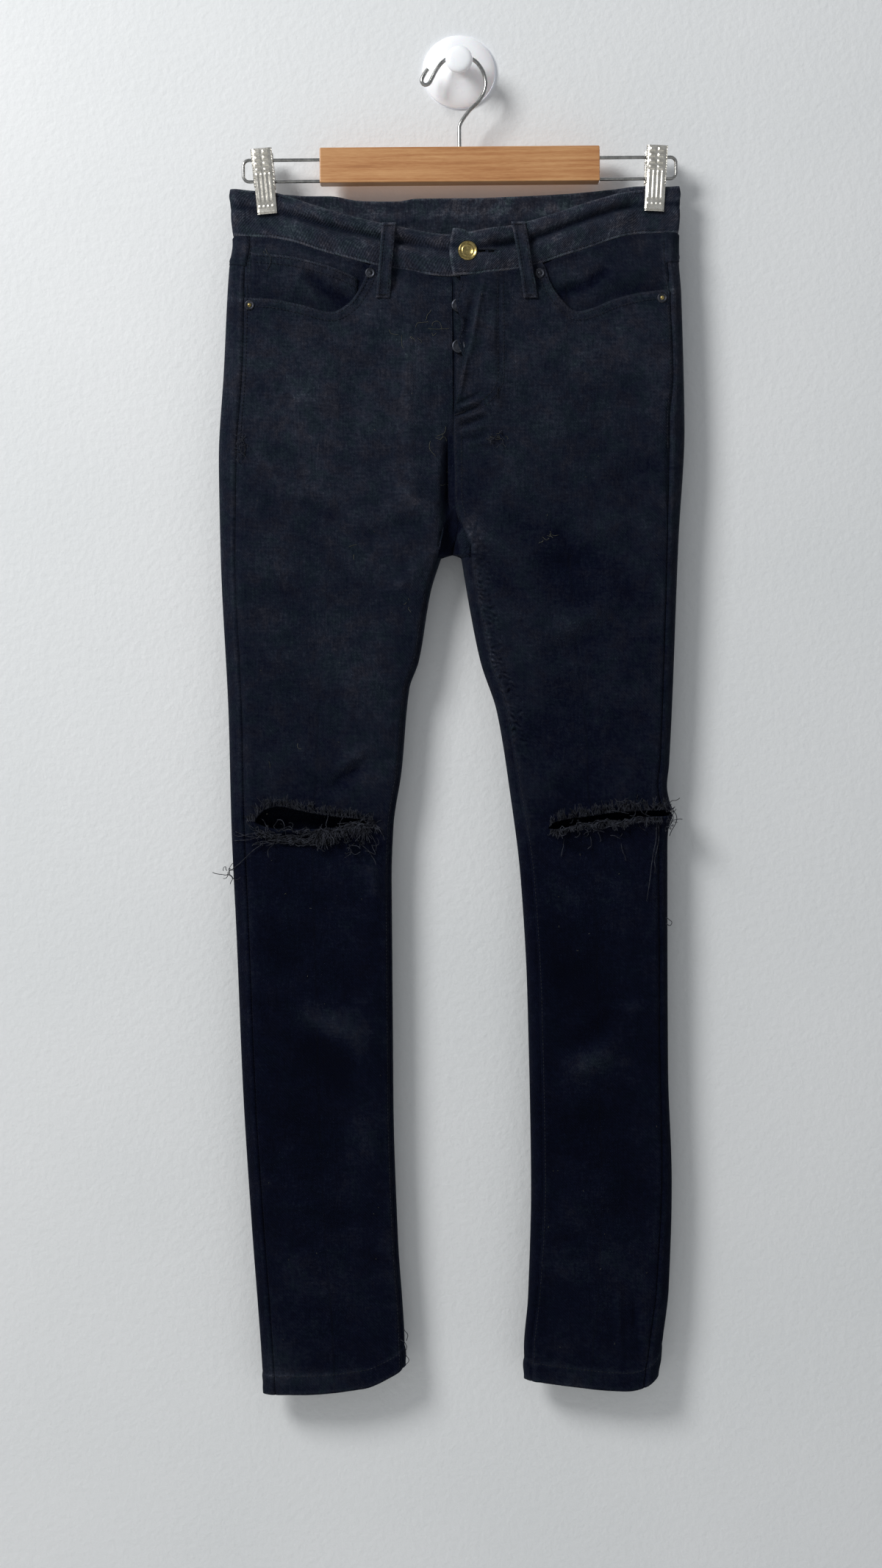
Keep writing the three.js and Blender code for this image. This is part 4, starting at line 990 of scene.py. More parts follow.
def waistband():
    stations = [("front", x) for x in np.linspace(24, -3, BENEATH_TAB)]
    stations += [("right", turn) for turn in np.concatenate([
        np.linspace(2.6, 2, 5), np.linspace(1.985, 1, 66), np.linspace(0.92, -0.92, 24),
        np.linspace(-1, -2, 62), np.linspace(-2.1, -2.95, 7)])]
    stations += [("left", turn) for turn in np.concatenate([
        np.linspace(-2.95, -2.1, 7), np.linspace(-2, -1, 62), np.linspace(-0.92, 0.92, 24),
        np.linspace(1, 2, 66)])]
    stations += [("front", x) for x in np.linspace(4.4, TAB_END, 9)]

    def detail(face, x, share):
        front = face < 0
        middle = np.where(front, 0.37, 0.5) + 0.03 * np.sin(x / 31)
        crease_line = np.where(front, -4.2, -0.9) * bell(share, middle, 0.085) * ramp(np.abs(x + 5), 12, 40)
        puffed = np.where(front, 2.2, 0.5) * (bell(share, middle + 0.27, 0.18) + bell(share, middle - 0.2, 0.12))
        calm = lerp(0.2, 1, ramp(np.minimum(x + 204, 195 - x), 4, 30))
        rounded = -0.9 * (bell(share, 0, 0.045) + bell(share, 1, 0.04))
        stitched = -0.45 * (bell(share, 0.075, 0.02) + bell(share, 0.925, 0.02))
        wavy = 0.35 * np.sin(x / 9.5) * np.sin(share * 5 + x / 40)
        grip = plateau(x, -171, 14, 24) + plateau(x, 171, 14, 24)
        return (crease_line + puffed + wavy) * (1 - grip) * calm + rounded + stitched

    def point(column, row):
        x = np.zeros_like(column)
        y = np.zeros_like(column)
        z = np.zeros_like(column)
        face = np.full_like(column, -1)
        for k, (side, where) in enumerate(stations):
            share = row[k]
            if side == "front":
                x[k] = where - TAB_BOW * np.sin(math.pi * share) * ramp(-where, -4.4, -TAB_END)
                on_tab = k >= BENEATH_TAB
                stand = FLY_RISE if on_tab else 0
                raised_tab = 4.5 * ramp(-x[k], -14, 5) * on_tab
                z[k] = lerp(BAND_TOP["front"](x[k]) + raised_tab, BAND_BOTTOM["front"](x[k]), share)
                y[k] = MID - half_depth(x[k], z[k]) - stand - detail(-1, x[k], share)
                continue
            part = "front" if where >= 0 else "back"
            level = np.full_like(share, WAIST_LEVEL)
            for _ in range(4):
                spot = across(side, abs(where), level, 0)
                level = lerp(BAND_TOP[part](spot), BAND_BOTTOM[part](spot), share)
            facing = -1 if where >= 0 else 1
            face[k] = facing
            x[k], y[k], z[k] = place(side, np.full_like(share, where), level, detail(facing, spot, share), True)
        tone = 0.84 + 0.26 * bell(row, 0.0, 0.04) + 0.34 * bell(row, 1.0, 0.04) + 0.10 * bell(row, 0.3, 0.1)
        middle = np.where(face < 0, 0.37, 0.5) + 0.03 * np.sin(x / 31)
        # A dark line painted along the band's crease: painted shade
        crease_shade = np.where(face < 0, 0.36, 0.1) * bell(row, middle, 0.07)
        return x, y, z, tone - crease_shade + 0.2 * (column > len(stations) - 3)

    def keep(column, row, x, z):
        in_buttonhole = 8 < x < 31 and abs(z - WAIST_BUTTON[1]) < 1.1
        return not (column > len(stations) - 40 and in_buttonhole)

    rows = np.concatenate([[0, 0.03, 0.06], np.linspace(0.1, 0.9, 23), [0.94, 0.97, 1]])
    mesh = grid_mesh("waistband", np.arange(len(stations)), rows, point, keep)
    return cloth_piece("waistband_strip", mesh, BAND, ["waistband"])


BELT_LOOPS = {
    "belt_loop_right_front": (-1, (-62.5, -142.5), (-68.5, -209)),
    "belt_loop_left_front": (-1, (51, -142.5), (61.5, -210)),
    "belt_loop_right_back": (1, (-128, -117.5), (-128, -182)),
    "belt_loop_left_back": (1, (118, -116), (118, -182)),
    "belt_loop_centre_back": (1, (-5, -120), (-6, -186)),
}
LOOP_WIDTH = 12.5
LOOP_STAND = through((0, 1.9), (0.06, 2.3), (0.16, 6.6), (0.5, 7.0), (0.78, 6.4), (0.9, 2.6), (1, 1.9))


def loop_spot(face, top, foot, share, aside, lift):
    x = lerp(top[0], foot[0], share) + aside
    z = lerp(top[1], foot[1], share)
    return on(face, x, z, LOOP_STAND(share) + lift, True)


def belt_loop(name):
    face, top, foot = BELT_LOOPS[name]

    def point(column, row):
        edge = 0.5 * bell(np.abs(column), 0.36, 0.1) - 0.5 * bell(np.abs(column), 0.5, 0.06)
        groove = -0.35 * bell(column, 0, 0.1)
        wave = 0.25 * np.sin(row * 21)
        pulled_in = 1 - 0.06 * bell(row, 0.5, 0.3)
        x, y, z = loop_spot(face, top, foot, row, column * LOOP_WIDTH * pulled_in, edge + groove + wave)
        tone = 0.74 + 0.24 * bell(np.abs(column), 0.5, 0.1) + 0.2 * bell(row, 0.0, 0.04) + 0.2 * bell(row, 1, 0.04)
        return x, y, z, tone

    mesh = grid_mesh(name, np.linspace(-0.5, 0.5, 15), np.linspace(0, 1, 46), point)
    return cloth_piece(f"{name}_strip", mesh, LOOP_WALL, [name])


# Pockets

FACING_FOOT = -246
FACING_NEAR = {"right": -72, "left": 66}
COIN_TOP = through((-184, -168), (-151, -171.5), (-119, -179.5), (-91, -191))


def to_mouth(x, z):
    """Distance from the pocket mouth, negative where the front covers the facing."""
    nearest = np.full(np.shape(x), np.inf)
    for side, sign in SIGN.items():
        for px in evenly(MOUTH_START[side], sign * 205, 2):
            nearest = np.minimum(nearest, np.hypot(x - px, z - POCKET_MOUTH[side](px)))
    above = z > by_side(POCKET_MOUTH, x, z, x)
    outside = np.where(side_of(x, z) < 0, x < MOUTH_START["right"], x > MOUTH_START["left"])
    return np.where(above & outside, nearest, -nearest)


def hollow(x, z):
    """The slack of each facing sinks in a fold that runs up and out from the foot of the pocket mouth."""
    right = crease(x, z, -138, -186, -120, -199, 5, 1) + crease(x, z, -128, -196, -92, -216, 6, 1)
    left = crease(x, z, 132, -184, 112, -199, 5, 1) + crease(x, z, 118, -196, 76, -209, 6, 1)
    return np.clip(right + left, 0, 1)


def facing_lift(x, z):
    """The facing lies level with the front at the waistband and the side seam, and sinks behind the
    pocket mouth, which gapes at its lowest point."""
    behind = ramp(-to_mouth(x, z), -13, -1)
    gape = 2.6 * np.exp(-(((np.abs(x) - 108) / 20) ** 2) - ((z + 214) / 15) ** 2)
    drag = -3.4 * hollow(x, z)
    swell = crease(x, z, -186, -188, -110, -200, 8, 1.7) + crease(x, z, 104, -198, 176, -184, 8, 1.7)
    tuck = crease(x, z, -128, -172, -92, -190, 4, 1.4) + crease(x, z, 88, -176, 150, -166, 5, -1.5)
    return -1.9 * behind - gape + (drag + swell + tuck) * plateau(to_mouth(x, z), 22, 12, 24)


def facing(side):
    def point(column, row):
        level = lerp(-156, FACING_FOOT, row)
        seam = OUTER[side](level) - SIGN[side] * (SIDE_SEAM[side](level) + 0.1)
        x = lerp(seam, FACING_NEAR[side], column)
        z = lerp(BAND_BOTTOM["front"](x) + 2, FACING_FOOT, row)
        x, y, z = on(-1, x, z, facing_lift(x, z) + under_band(x, z), True)
        # A little darker all over; the darker band along the pocket mouth and in the hollow of its fold is painted
        # shade
        tone = fade_and_shade(-1, x, z) - 0.04 - 0.16 * bell(to_mouth(x, z), 0, 6) - 0.42 * hollow(x, z)
        return x, y, z, tone, unrolled(side, -1, x, y, z)

    mesh = grid_mesh(f"{side}_facing", np.linspace(0, 1, 64), np.linspace(0, 1, 50), point)
    return cloth_piece(f"{side}_facing_panel", mesh, FACING_WALL, [f"{side}_pocket_facing"])


def coin_pocket():
    def point(column, row):
        z = lerp(COIN_TOP(column), -236, row)
        edge = 0.5 * bell(row, 0.03, 0.05) - 0.4 * bell(row, 0, 0.01)
        under = ramp(-to_mouth(column, z), -4, 2)
        x, y, z = on(-1, column, z, facing_lift(column, z) + lerp(1.2, 0.5, under) + edge, True)
        # A little darker all over; the darker band along the pocket mouth and in the facing's hollow is painted
        # shade, the paler top edge is wear
        tone = fade_and_shade(-1, x, z) - 0.04 + 0.2 * bell(row, 0, 0.03) - 0.16 * bell(to_mouth(x, z), 0, 6)
        return x, y, z, tone - 0.42 * hollow(x, z)

    mesh = grid_mesh("coin_pocket", np.linspace(-184, -91, 34), np.linspace(0, 1, 26), point)
    return cloth_piece("coin_pocket_patch", mesh, FACING_WALL, ["coin_pocket"])


PATCH_CENTRE = {"right": -104, "left": 94}
PATCH_TOP = -232
PATCH_HALF_WIDTH = 70
PATCH_DEPTH = 150
PATCH_POINT = 18
PATCH_TILT = 3


def patch_spot(side, column, row):
    """A place on a back pocket: column -1 to 1 across it and row 0 to 1 down it, to a pointed foot."""
    tilt = math.radians(PATCH_TILT) * SIGN[side]
    u = column * PATCH_HALF_WIDTH * lerp(1, 0.9, row)
    v = -(PATCH_DEPTH - PATCH_POINT * np.abs(column)) * row
    x = PATCH_CENTRE[side] + u * math.cos(tilt) - v * math.sin(tilt)
    return x, PATCH_TOP + u * math.sin(tilt) + v * math.cos(tilt)


def patch_pocket(side):
    def point(column, row):
        x, z = patch_spot(side, column, row)
        rim = np.maximum(bell(np.abs(column), 1, 0.04), np.maximum(bell(row, 0, 0.02), bell(row, 1, 0.03)))
        belly = 1.4 * (1 - column**2) * bell(row, 0.12, 0.2)
        x, y, z = on(1, x, z, 1.6 + belly - 0.6 * rim)
        hem = bell(row, 0.085, 0.008)
        return x, y, z, fade_and_shade(1, x, z) + 0.35 * rim + 0.15 * hem

    mesh = grid_mesh(f"{side}_pocket", np.linspace(-1, 1, 49), np.linspace(0, 1, 54), point)
    return cloth_piece(f"{side}_pocket_patch", mesh, PATCH_WALL, [f"{side}_back_pocket"])


# Fly


def fly_shield():
    def point(column, row):
        z = lerp(BAND_BOTTOM["front"](column) + 1.5, -306, row)
        wave = 0.5 * np.sin(z / 9) * bell(column, -12, 10)
        y = MID - half_depth(column, z) + DENIM + 0.3 + wave * 0.3
        # The shield is painted pale to make up for the shadow the raised fly casts on it: painted light. It is darker
        # along the centre seam line
        return column, y, z, 0.78 - 0.35 * bell(column, CENTRE(z), 2.2)

    mesh = grid_mesh("fly_shield", np.linspace(-14, 31, 20), np.linspace(0, 1, 46), point)
    return cloth_piece("fly_shield_panel", mesh, SHIELD_WALL, ["fly_shield"])


def turned(name, profile, x, y, z, finish, slot, nodes, steps=40):
    """Spins a profile of (radius, height towards the viewer) about an axis along y."""
    bm = bmesh.new()
    verts = [bm.verts.new((r * MM, -h * MM, 0)) for r, h in profile]
    edges = [bm.edges.new(pair) for pair in zip(verts, verts[1:])]
    bmesh.ops.spin(bm, geom=verts + edges, cent=(0, 0, 0), axis=(0, 1, 0), angle=2 * math.pi, steps=steps,
                   use_merge=True)
    bmesh.ops.remove_doubles(bm, verts=bm.verts, dist=1e-6)
    bmesh.ops.recalc_face_normals(bm, faces=bm.faces)
    bmesh.ops.translate(bm, verts=bm.verts, vec=(x * MM, y * MM, z * MM))
    mesh = mesh_of(bm, name)
    smooth(mesh)
    mesh.set_sharp_from_angle(angle=math.radians(38))
    return belongs(link(name, mesh, finish), slot, *nodes)


RIVETS = {
    "rivet_right_upper": (-79.6, -186.5, BLACKENED, "blackened"), "rivet_right_lower": (-186, -214, BRASS, "brass"),
    "rivet_left_upper": (69.5, -188, BLACKENED, "blackened"), "rivet_left_lower": (177, -210.7, BRASS, "brass"),
}


FLY_BUTTONS = ((-2.4, -216), (-2.2, -252))


def metalwork():
    for k, (x, z) in enumerate(FLY_BUTTONS):
        foot = MID - float(half_depth(x, z)) + 0.9
        profile = [(0, 0), (2.4, 0), (2.4, 1.9), (5.2, 1.9), (6, 2.2), (6.1, 2.8), (5.7, 3.5), (4.9, 3.8), (4.2, 3.5),
                   (3.4, 3.3), (1.4, 3.3), (0, 3.4)]
        turned(f"fly_button_{k + 1}_head", profile, x, foot, z, BLACKENED, "blackened", [f"fly_button_{k + 1}"])
    foot = MID - float(half_depth(*WAIST_BUTTON)) - FLY_RISE - 0.3
    # A plain ring and a shallow dish are all that the face carries.
    profile = [(0, 0), (3, 0), (3, 0.7), (7.6, 0.7), (8.4, 1.1), (8.6, 1.9), (8.2, 2.7), (7.4, 3.1), (6.8, 2.9),
               (6.3, 2.5), (5.6, 2.4), (5.2, 2.7), (4.7, 2.9), (4.2, 2.7), (3.8, 2.4), (2, 2.2), (0, 2.15)]
    turned("waist_button_head", profile, WAIST_BUTTON[0], foot, WAIST_BUTTON[1], BRASS, "brass", ["waist_button"])
    for name, (x, z, metal, slot) in RIVETS.items():
        foot = float(on(-1, x, z, 0.1)[1])
        dish = [(0, 0), (4.3, 0), (4.5, 0.4), (4.2, 0.9), (3.5, 1.2), (2.9, 1.0), (2.3, 0.8), (1.9, 0.9), (1.5, 1.5),
                (0.8, 1.9), (0, 2.0)]
        cap = turned(f"{name}_cap", dish, x, foot, z, BLACKENED, slot, [name], 28)
        cap.data.materials.append(metal)
        for polygon in cap.data.polygons:
            spot = polygon.center / MM
            if math.hypot(spot.x - x, spot.z - z) < 1.7:
                polygon.material_index = 1


# Hanger and peg

HOOK_ROUTE = [
    (0, -98), (0, -76), (0, -60), (1, -53), (8.5, -42), (17.5, -33), (22.6, -24), (23.6, -16), (21, -6.5), (15, 1.8),
    (7.5, 5.8), (0, 6.9), (-8, 5.6), (-15, 1), (-20, -5.5), (-23.5, -12), (-26.5, -17.2), (-30.5, -18.4),
    (-33, -15), (-31, -9.5), (-27.5, -4.5),
]


def wire(name, routes, radius, finish, slot, nodes, sides=3):
    """Round wire along one or more routes of points, as one mesh with closed ends."""
    data = bpy.data.curves.new(name, "CURVE")
    data.dimensions = "3D"
    data.bevel_depth = radius * MM
    data.bevel_resolution = sides
    data.resolution_u = 1
    data.use_fill_caps = True
    for route in routes:
        spline = data.splines.new("POLY")
        spline.points.add(len(route) - 1)
        spline.points.foreach_set("co", np.array([(x * MM, y * MM, z * MM, 1) for x, y, z in route]).ravel())
    maker = bpy.data.objects.new(name + "_route", data)
    bpy.context.scene.collection.objects.link(maker)
    mesh = bpy.data.meshes.new_from_object(maker.evaluated_get(bpy.context.evaluated_depsgraph_get()))
    bpy.data.objects.remove(maker)
    bpy.data.curves.remove(data)
    mesh.name = name
    smooth(mesh)
    return belongs(link(name, mesh, finish), slot, *nodes)


def smoothed(points, steps=6):
    """Points on a smooth line through the given (x, z) points, which a curve would otherwise cut short."""
    spots = np.array(points, float)
    ends = np.concatenate([[2 * spots[0] - spots[1]], spots, [2 * spots[-1] - spots[-2]]])
    made = []
    for p0, p1, p2, p3 in zip(ends, ends[1:], ends[2:], ends[3:]):
        for t in np.arange(steps) / steps:
            made.append(0.5 * (2 * p1 + (p2 - p0) * t + (2 * p0 - 5 * p1 + 4 * p2 - p3) * t**2
                               + (3 * p1 - p0 - 3 * p2 + p3) * t**3))
    return made + [spots[-1]]


HOOK_WIRE = 1.75
FRAME_WIRE = 1.5
FRAME_START, FRAME_END = 108.5, 191.2
FRAME_TOP, FRAME_FOOT = -84, -103
FRAME_BEND = 5


def hanger_wires():
    route = [(x, MID, z) for x, z in smoothed(HOOK_ROUTE)]
    wire("hanger_hook_wire", [route], HOOK_WIRE, CHROME_WIRE, "nickel", ["hanger_hook"], sides=4)
    angles = np.linspace(0, math.pi / 2, 7)
    bends = [(FRAME_BEND * (1 - math.sin(a)), FRAME_BEND * (1 - math.cos(a))) for a in angles]
    for side, sign in SIGN.items():
        path = [(FRAME_START, FRAME_TOP), *((FRAME_END - s, FRAME_TOP - c) for s, c in bends),
                *((FRAME_END - c, FRAME_FOOT + s) for s, c in bends), (FRAME_START, FRAME_FOOT)]
        wire(f"{side}_wire", [[(sign * x, MID, z) for x, z in path]], FRAME_WIRE, CHROME_WIRE, "nickel",
             [f"{side}_wire_frame"])


JAW_OUTSIDE = through((22, 10), (8, 9.2), (-4, 7.5), (-20, 5.9), (-32, 4.8), (-33.7, 5.4), (-34.6, 6.6))
JAW_WIDTH = 17.5
JAW_WALL = 0.9
CLIP_X = {"right": -173, "left": 173}
CLIP_LEAN = {"right": 5, "left": 3}
JAW_PIVOT = -98
SPRING_WIRE = 0.7


def jaw_relief(across_jaw, height):
    """Four rows of two louvres above the pivot; four flutes that end in dimples below it."""
    louvres = 0
    for level in (18.5, 13.2, 7.9, 2.6):
        for aside in (-3.6, 3.6):
            louvres = louvres + 1.1 * plateau(across_jaw, aside, 1.9, 2.9) * plateau(height, level, 1.0, 1.9)
    flutes = 0
    for aside in (-5.7, -1.9, 1.9, 5.7):
        flutes = flutes + 0.8 * bell(across_jaw, aside, 1.0) * plateau(height, -12, 11, 13.5)
        flutes = flutes + 0.7 * np.exp(-(((across_jaw - aside) / 0.9) ** 2) - ((height + 28.2) / 0.9) ** 2)
    return louvres + flutes


def clip_jaw(side, face):
    lean = math.radians(CLIP_LEAN[side]) * SIGN[side]
    half = JAW_WIDTH / 2

    def point(column, row):
        reach = np.abs(column)
        aside = np.sign(column) * np.minimum(reach, half)
        flange = np.clip(reach - half, 0, None)
        on_plate = reach <= half
        corner = 0.8 * bell(half - reach, 0, 1.1) * on_plate
        out = JAW_OUTSIDE(row) + np.where(on_plate, jaw_relief(aside, row), 0) - corner - flange * ramp(row, -13, -9)
        z = row - 0.15 * flange
        turned_x = aside * math.cos(lean) + z * math.sin(lean)
        turned_z = -aside * math.sin(lean) + z * math.cos(lean)
        return CLIP_X[side] + turned_x, MID + face * out, JAW_PIVOT + turned_z, 0.5

    columns = np.concatenate([evenly(-half - 3.6, -half - 0.6, 1.0), evenly(-half, half, 0.42),
                              evenly(half + 0.6, half + 3.6, 1.0)])
    rows = np.concatenate([evenly(22, -30, 0.5), evenly(-30.3, -34.6, 0.4)])
    mesh = grid_mesh(f"{side}_jaw", columns, rows, point, lambda c, r, x, z: abs(c) < half + 0.3 or r > -11)
    name = f"{side}_clip_{'front' if face < 0 else 'back'}_jaw"
    face_outwards(mesh)
    smooth(mesh)
    piece = link(f"{name}_plate", mesh, NICKEL)
    thicken(piece, JAW_WALL)
    return belongs(piece, "nickel", name)


def clip_spring(side):
    turns, corners, coil, length = 6, 14, 2.7, 10
    route = []
    for k in range(turns * corners + 1):
        angle = 2 * math.pi * k / corners
        route.append((CLIP_X[side] - length / 2 + length * k / (turns * corners), MID + coil * math.cos(angle),
                      FRAME_FOOT + coil * math.sin(angle)))
    wire(f"{side}_spring_coil", [route], SPRING_WIRE, CHROME_WIRE, "nickel", [f"{side}_clip_spring"],
         sides=2)


PEG = [(0, 0), (32.2, 0), (32.5, 0.6), (32.5, 2.2), (31.8, 3), (28, 5.2), (24, 7), (17, 9), (11, 10.7), (8, 12),
       (6.3, 13.6), (5.1, 15.4), (4.5, 17.4), (4.5, 29.6), (5.2, 31), (7, 32.2), (9.6, 33.2), (11.3, 34.3),
       (12, 35.7), (11.8, 37), (11, 38.1), (9.4, 39.1), (7, 39.8), (0, 40)]

# Stitching, as short capsules laid along lines on the cloth


STITCH_PITCH = 3.1
STITCH_LENGTH = 2.3
COIN_STITCH_LENGTH = 2.1


def laid_out(line, ahead=0.0):
    """A point for each stitch along a line of (x, z) points, or some way ahead of it."""
    line = np.array(line, float)
    run = np.append(0, np.cumsum(np.hypot(*np.diff(line, axis=0).T)))
    at = np.clip(np.arange(STITCH_PITCH / 2, run[-1], STITCH_PITCH) + ahead, 0, run[-1])
    return np.interp(at, run, line[:, 0]), np.interp(at, run, line[:, 1])


def stitched(face, starts, ends, lift, bare=False):
    """Starts, ends and outward directions of stitches over the cloth, from two sets of x and z."""
    spots = [np.stack(on(face, x, z, lift, bare), axis=-1) for x, z in (starts, ends)]
    return (*spots, outwards(face, len(spots[0])))


def outwards(face, count):
    return np.tile([0.0, float(face), 0.0], (count, 1))


def capsule():
    bm = bmesh.new()
    bmesh.ops.create_uvsphere(bm, u_segments=6, v_segments=4, radius=1)
    bmesh.ops.rotate(bm, verts=bm.verts, matrix=Matrix.Rotation(math.pi / 2, 3, "Y"))
    return mesh_of(bm, "capsule")


def repeated(name, shape, starts, ends, outs, width, rise, finish):
    """Copies of a shape from starts to ends, flattened against the cloth, joined into one mesh."""
    along = (ends - starts) / 2
    middle = (starts + ends) / 2
    length = np.linalg.norm(along, axis=1, keepdims=True)
    e1 = along / length
    e3 = outs - np.sum(outs * e1, axis=1, keepdims=True) * e1
    e3 = e3 / np.linalg.norm(e3, axis=1, keepdims=True)
    e2 = np.cross(e3, e1)
    base = np.array([vert.co[:] for vert in shape.vertices])
    spots = (middle[:, None, :] + base[None, :, :1] * along[:, None, :] + base[None, :, 1:2] * width * e2[:, None, :]
             + base[None, :, 2:] * rise * e3[:, None, :]).reshape(-1, 3)
    facets = [list(facet.vertices) for facet in shape.polygons]
    copies = [[k * len(base) + v for v in facet] for k in range(len(starts)) for facet in facets]
    mesh = bpy.data.meshes.new(name)
    mesh.from_pydata((spots * MM).tolist(), [], copies)
    smooth(mesh)
    return link(name, mesh, finish)


def down(x_at, start, end, step=4):
    levels = evenly(start, end, step)
    return [(float(x_at(level)), float(level)) for level in levels]


def offset_line(line, distance):
    """A line moved aside by a distance, to its left as it runs."""
    points = np.array(line, float)
    heading = np.gradient(points, axis=0)
    heading /= np.linalg.norm(heading, axis=1, keepdims=True)
    return points + distance * np.stack([-heading[:, 1], heading[:, 0]], axis=-1)


def stitching():
    rows = []
    for side, sign in SIGN.items():
        mouth = [(x, float(POCKET_MOUTH[side](x))) for x in evenly(
            MOUTH_START[side] + sign * 0.5, sign * (186 if side == "right" else 178), 3)]
        for distance in (2.4, 7.6):
            rows.append((-1, offset_line(mouth, -sign * distance), 0.9))
        seam = down(lambda z: OUTER[side](z) - sign * (SIDE_SEAM[side](z) + 2.4), -160, -340)
        rows.append((-1, seam, 0.3))
        rows.append((-1, down(lambda z: LEG_INNER[side](z) + sign * (FRONT_EDGE[side](z) + 2.4), -444, -1150), 0.3))
        hem = [(x, float(HEM_EDGE[side](x)) + 16.2) for x in (
            evenly(-178, -60, 3) if side == "right" else evenly(53, 168, 3))]
        rows.append((-1, hem, 0.2))
        rows.append((1, hem, 0.2))
        yoke_line = [(x, float(YOKE_SEAM(x)) + 2.4) for x in evenly(-8 if side == "right" else -2, sign * 188, 4)]
        rows.append((1, yoke_line, 0.7))
        rows.append((1, offset_line(yoke_line, sign * 5), 0.7))
        for inset in (0.025, 0.10):
            patch = [patch_spot(side, c, r) for c, r in (
                [(-1 + inset, r) for r in np.linspace(0.01, 1 - inset, 20)]
                + [(c, 1 - inset) for c in np.linspace(-1 + inset, 1 - inset, 21)]
                + [(1 - inset, r) for r in np.linspace(1 - inset, 0.01, 20)])]
            rows.append((1, patch, 3.1))
        rows.append((1, [patch_spot(side, c, 0.085) for c in np.linspace(-0.97, 0.97, 20)], 3.1))
    # Fly: the curved double row over the button stand, the edge row and the centre seam
    fly = down(lambda z: 32.5, -193, -276) + [(31.6, -283), (28, -291), (20, -299), (9, -306), (-4, -311)]
    rows.append((-1, fly, 0.2))
    rows.append((-1, offset_line(fly, 5), 0.2))
    rows.append((-1, down(lambda z: CENTRE(z) + FRONT_EDGE["left"](z) + 2, -194, -308), 0.2))
    for distance in (2.2, 7):
        rows.append((-1, down(lambda z: CENTRE(z) + distance, -314, -402), 0.2))
        rows.append((1, down(lambda z: CENTRE(z) - distance, -222, -424), 0.2))
    # The coin pocket's rows have no lift of their own: they follow the facing.
    for depth in (2.2, 8):
        rows.append((-1, [(x, float(COIN_TOP(x)) - depth) for x in evenly(-182, -93, 3)], None))
    found = []
    for face, line, lift in rows:
        if lift is None:
            x, z = laid_out(line)
            x2 = x + COIN_STITCH_LENGTH
            z2 = z + (COIN_TOP(x2) - COIN_TOP(x))
            spots = [np.stack(on(-1, a, b, facing_lift(a, b) + 2.2, True), axis=-1) for a, b in ((x, z), (x2, z2))]
            found.append((*spots, outwards(-1, len(x))))
            continue
        found.append(stitched(face, laid_out(line), laid_out(line, STITCH_LENGTH), lift))
    # Waistband edges, front and back
    for face, part in ((-1, "front"), (1, "back")):
        for edge, shift in ((BAND_TOP, -2.8), (BAND_BOTTOM, 2.8)):
            for x0, x1 in ((-184, -12), (-4, 178)) if face < 0 else ((-184, 178),):
                x = evenly(x0, x1, STITCH_PITCH)
                ends = [(a, edge[part](a) + shift) for a in (x, x + STITCH_LENGTH)]
                found.append(stitched(face, *ends, 0.1, True))
    # Belt loops: two rows down each
    for face, top, foot in BELT_LOOPS.values():
        for aside in (-3.7, 3.7):
            share = np.linspace(0.03, 0.94, 21)
            ends = [np.stack(loop_spot(face, top, foot, s, aside, 0.75), axis=-1) for s in (share, share + 0.034)]
            found.append((*ends, outwards(face, 21)))
    starts, ends, outs = (np.concatenate(part) for part in zip(*found))
    piece = repeated("topstitching", capsule(), starts, ends, outs, 0.34, 0.3, SEWING_THREAD)
    return belongs(piece, "denim")


def bartack(face, x, z, angle, length, lift, bare=False):
    """A close zigzag across a few millimetres, which locks the end of a seam."""
    count = int(length / 0.75)
    t = np.linspace(-length / 2, length / 2, count)
    zig = np.where(np.arange(count) % 2 == 0, -0.9, 0.9)
    c, s = math.cos(angle), math.sin(angle)
    x1, z1 = x + c * t - s * zig, z + s * t + c * zig
    x2, z2 = x + c * (t + 0.4) + s * zig, z + s * (t + 0.4) - c * zig
    return stitched(face, (x1, z1), (x2, z2), lift, bare)


def bartacks():
    tacks = [bartack(-1, 31.9, -294, math.pi / 2, 9, 0.5), bartack(-1, -2, -311, 0.3, 9, 0.5),
             bartack(-1, -191, -343, math.pi / 2, 9, 0.4), bartack(-1, 181, -338, math.pi / 2, 9, 0.4)]
    for face, top, foot in BELT_LOOPS.values():
        tacks.append(bartack(face, top[0], top[1] - 2.6, 0, 11, LOOP_STAND(0.03) + 0.5, True))
        tacks.append(bartack(face, foot[0], foot[1] + 2.6, 0, 11, LOOP_STAND(0.97) + 0.5, True))
    for side in SIGN:
        for c in (-0.96, 0.96):
            x, z = patch_spot(side, c, 0.02)
            tacks.append(bartack(1, float(x), float(z), math.pi / 2, 9, 3.2))
    # The buttonhole's worked edge
    for level in (-170.6, -167.4):
        x = evenly(8, 31, 0.8)
        ends = [np.stack((a, MID - half_depth(a, b) - FLY_RISE - 0.8, b), axis=-1)
                for a, b in ((x, np.full_like(x, level - 0.9)), (x + 0.2, np.full_like(x, level + 0.9)))]
        tacks.append((*ends, outwards(-1, len(x))))
    starts, ends, outs = (np.concatenate(part) for part in zip(*tacks))
    piece = repeated("bartacks_and_buttonhole", capsule(), starts, ends, outs, 0.28, 0.3, SEWING_THREAD)
    return belongs(piece, "denim")


# Torn edges and loose threads

PROUD = -49.5  # no yarn stands further out than this
CLOTH_ENDS = (-203, 176)
LINT_ENDS = (-202, 176)


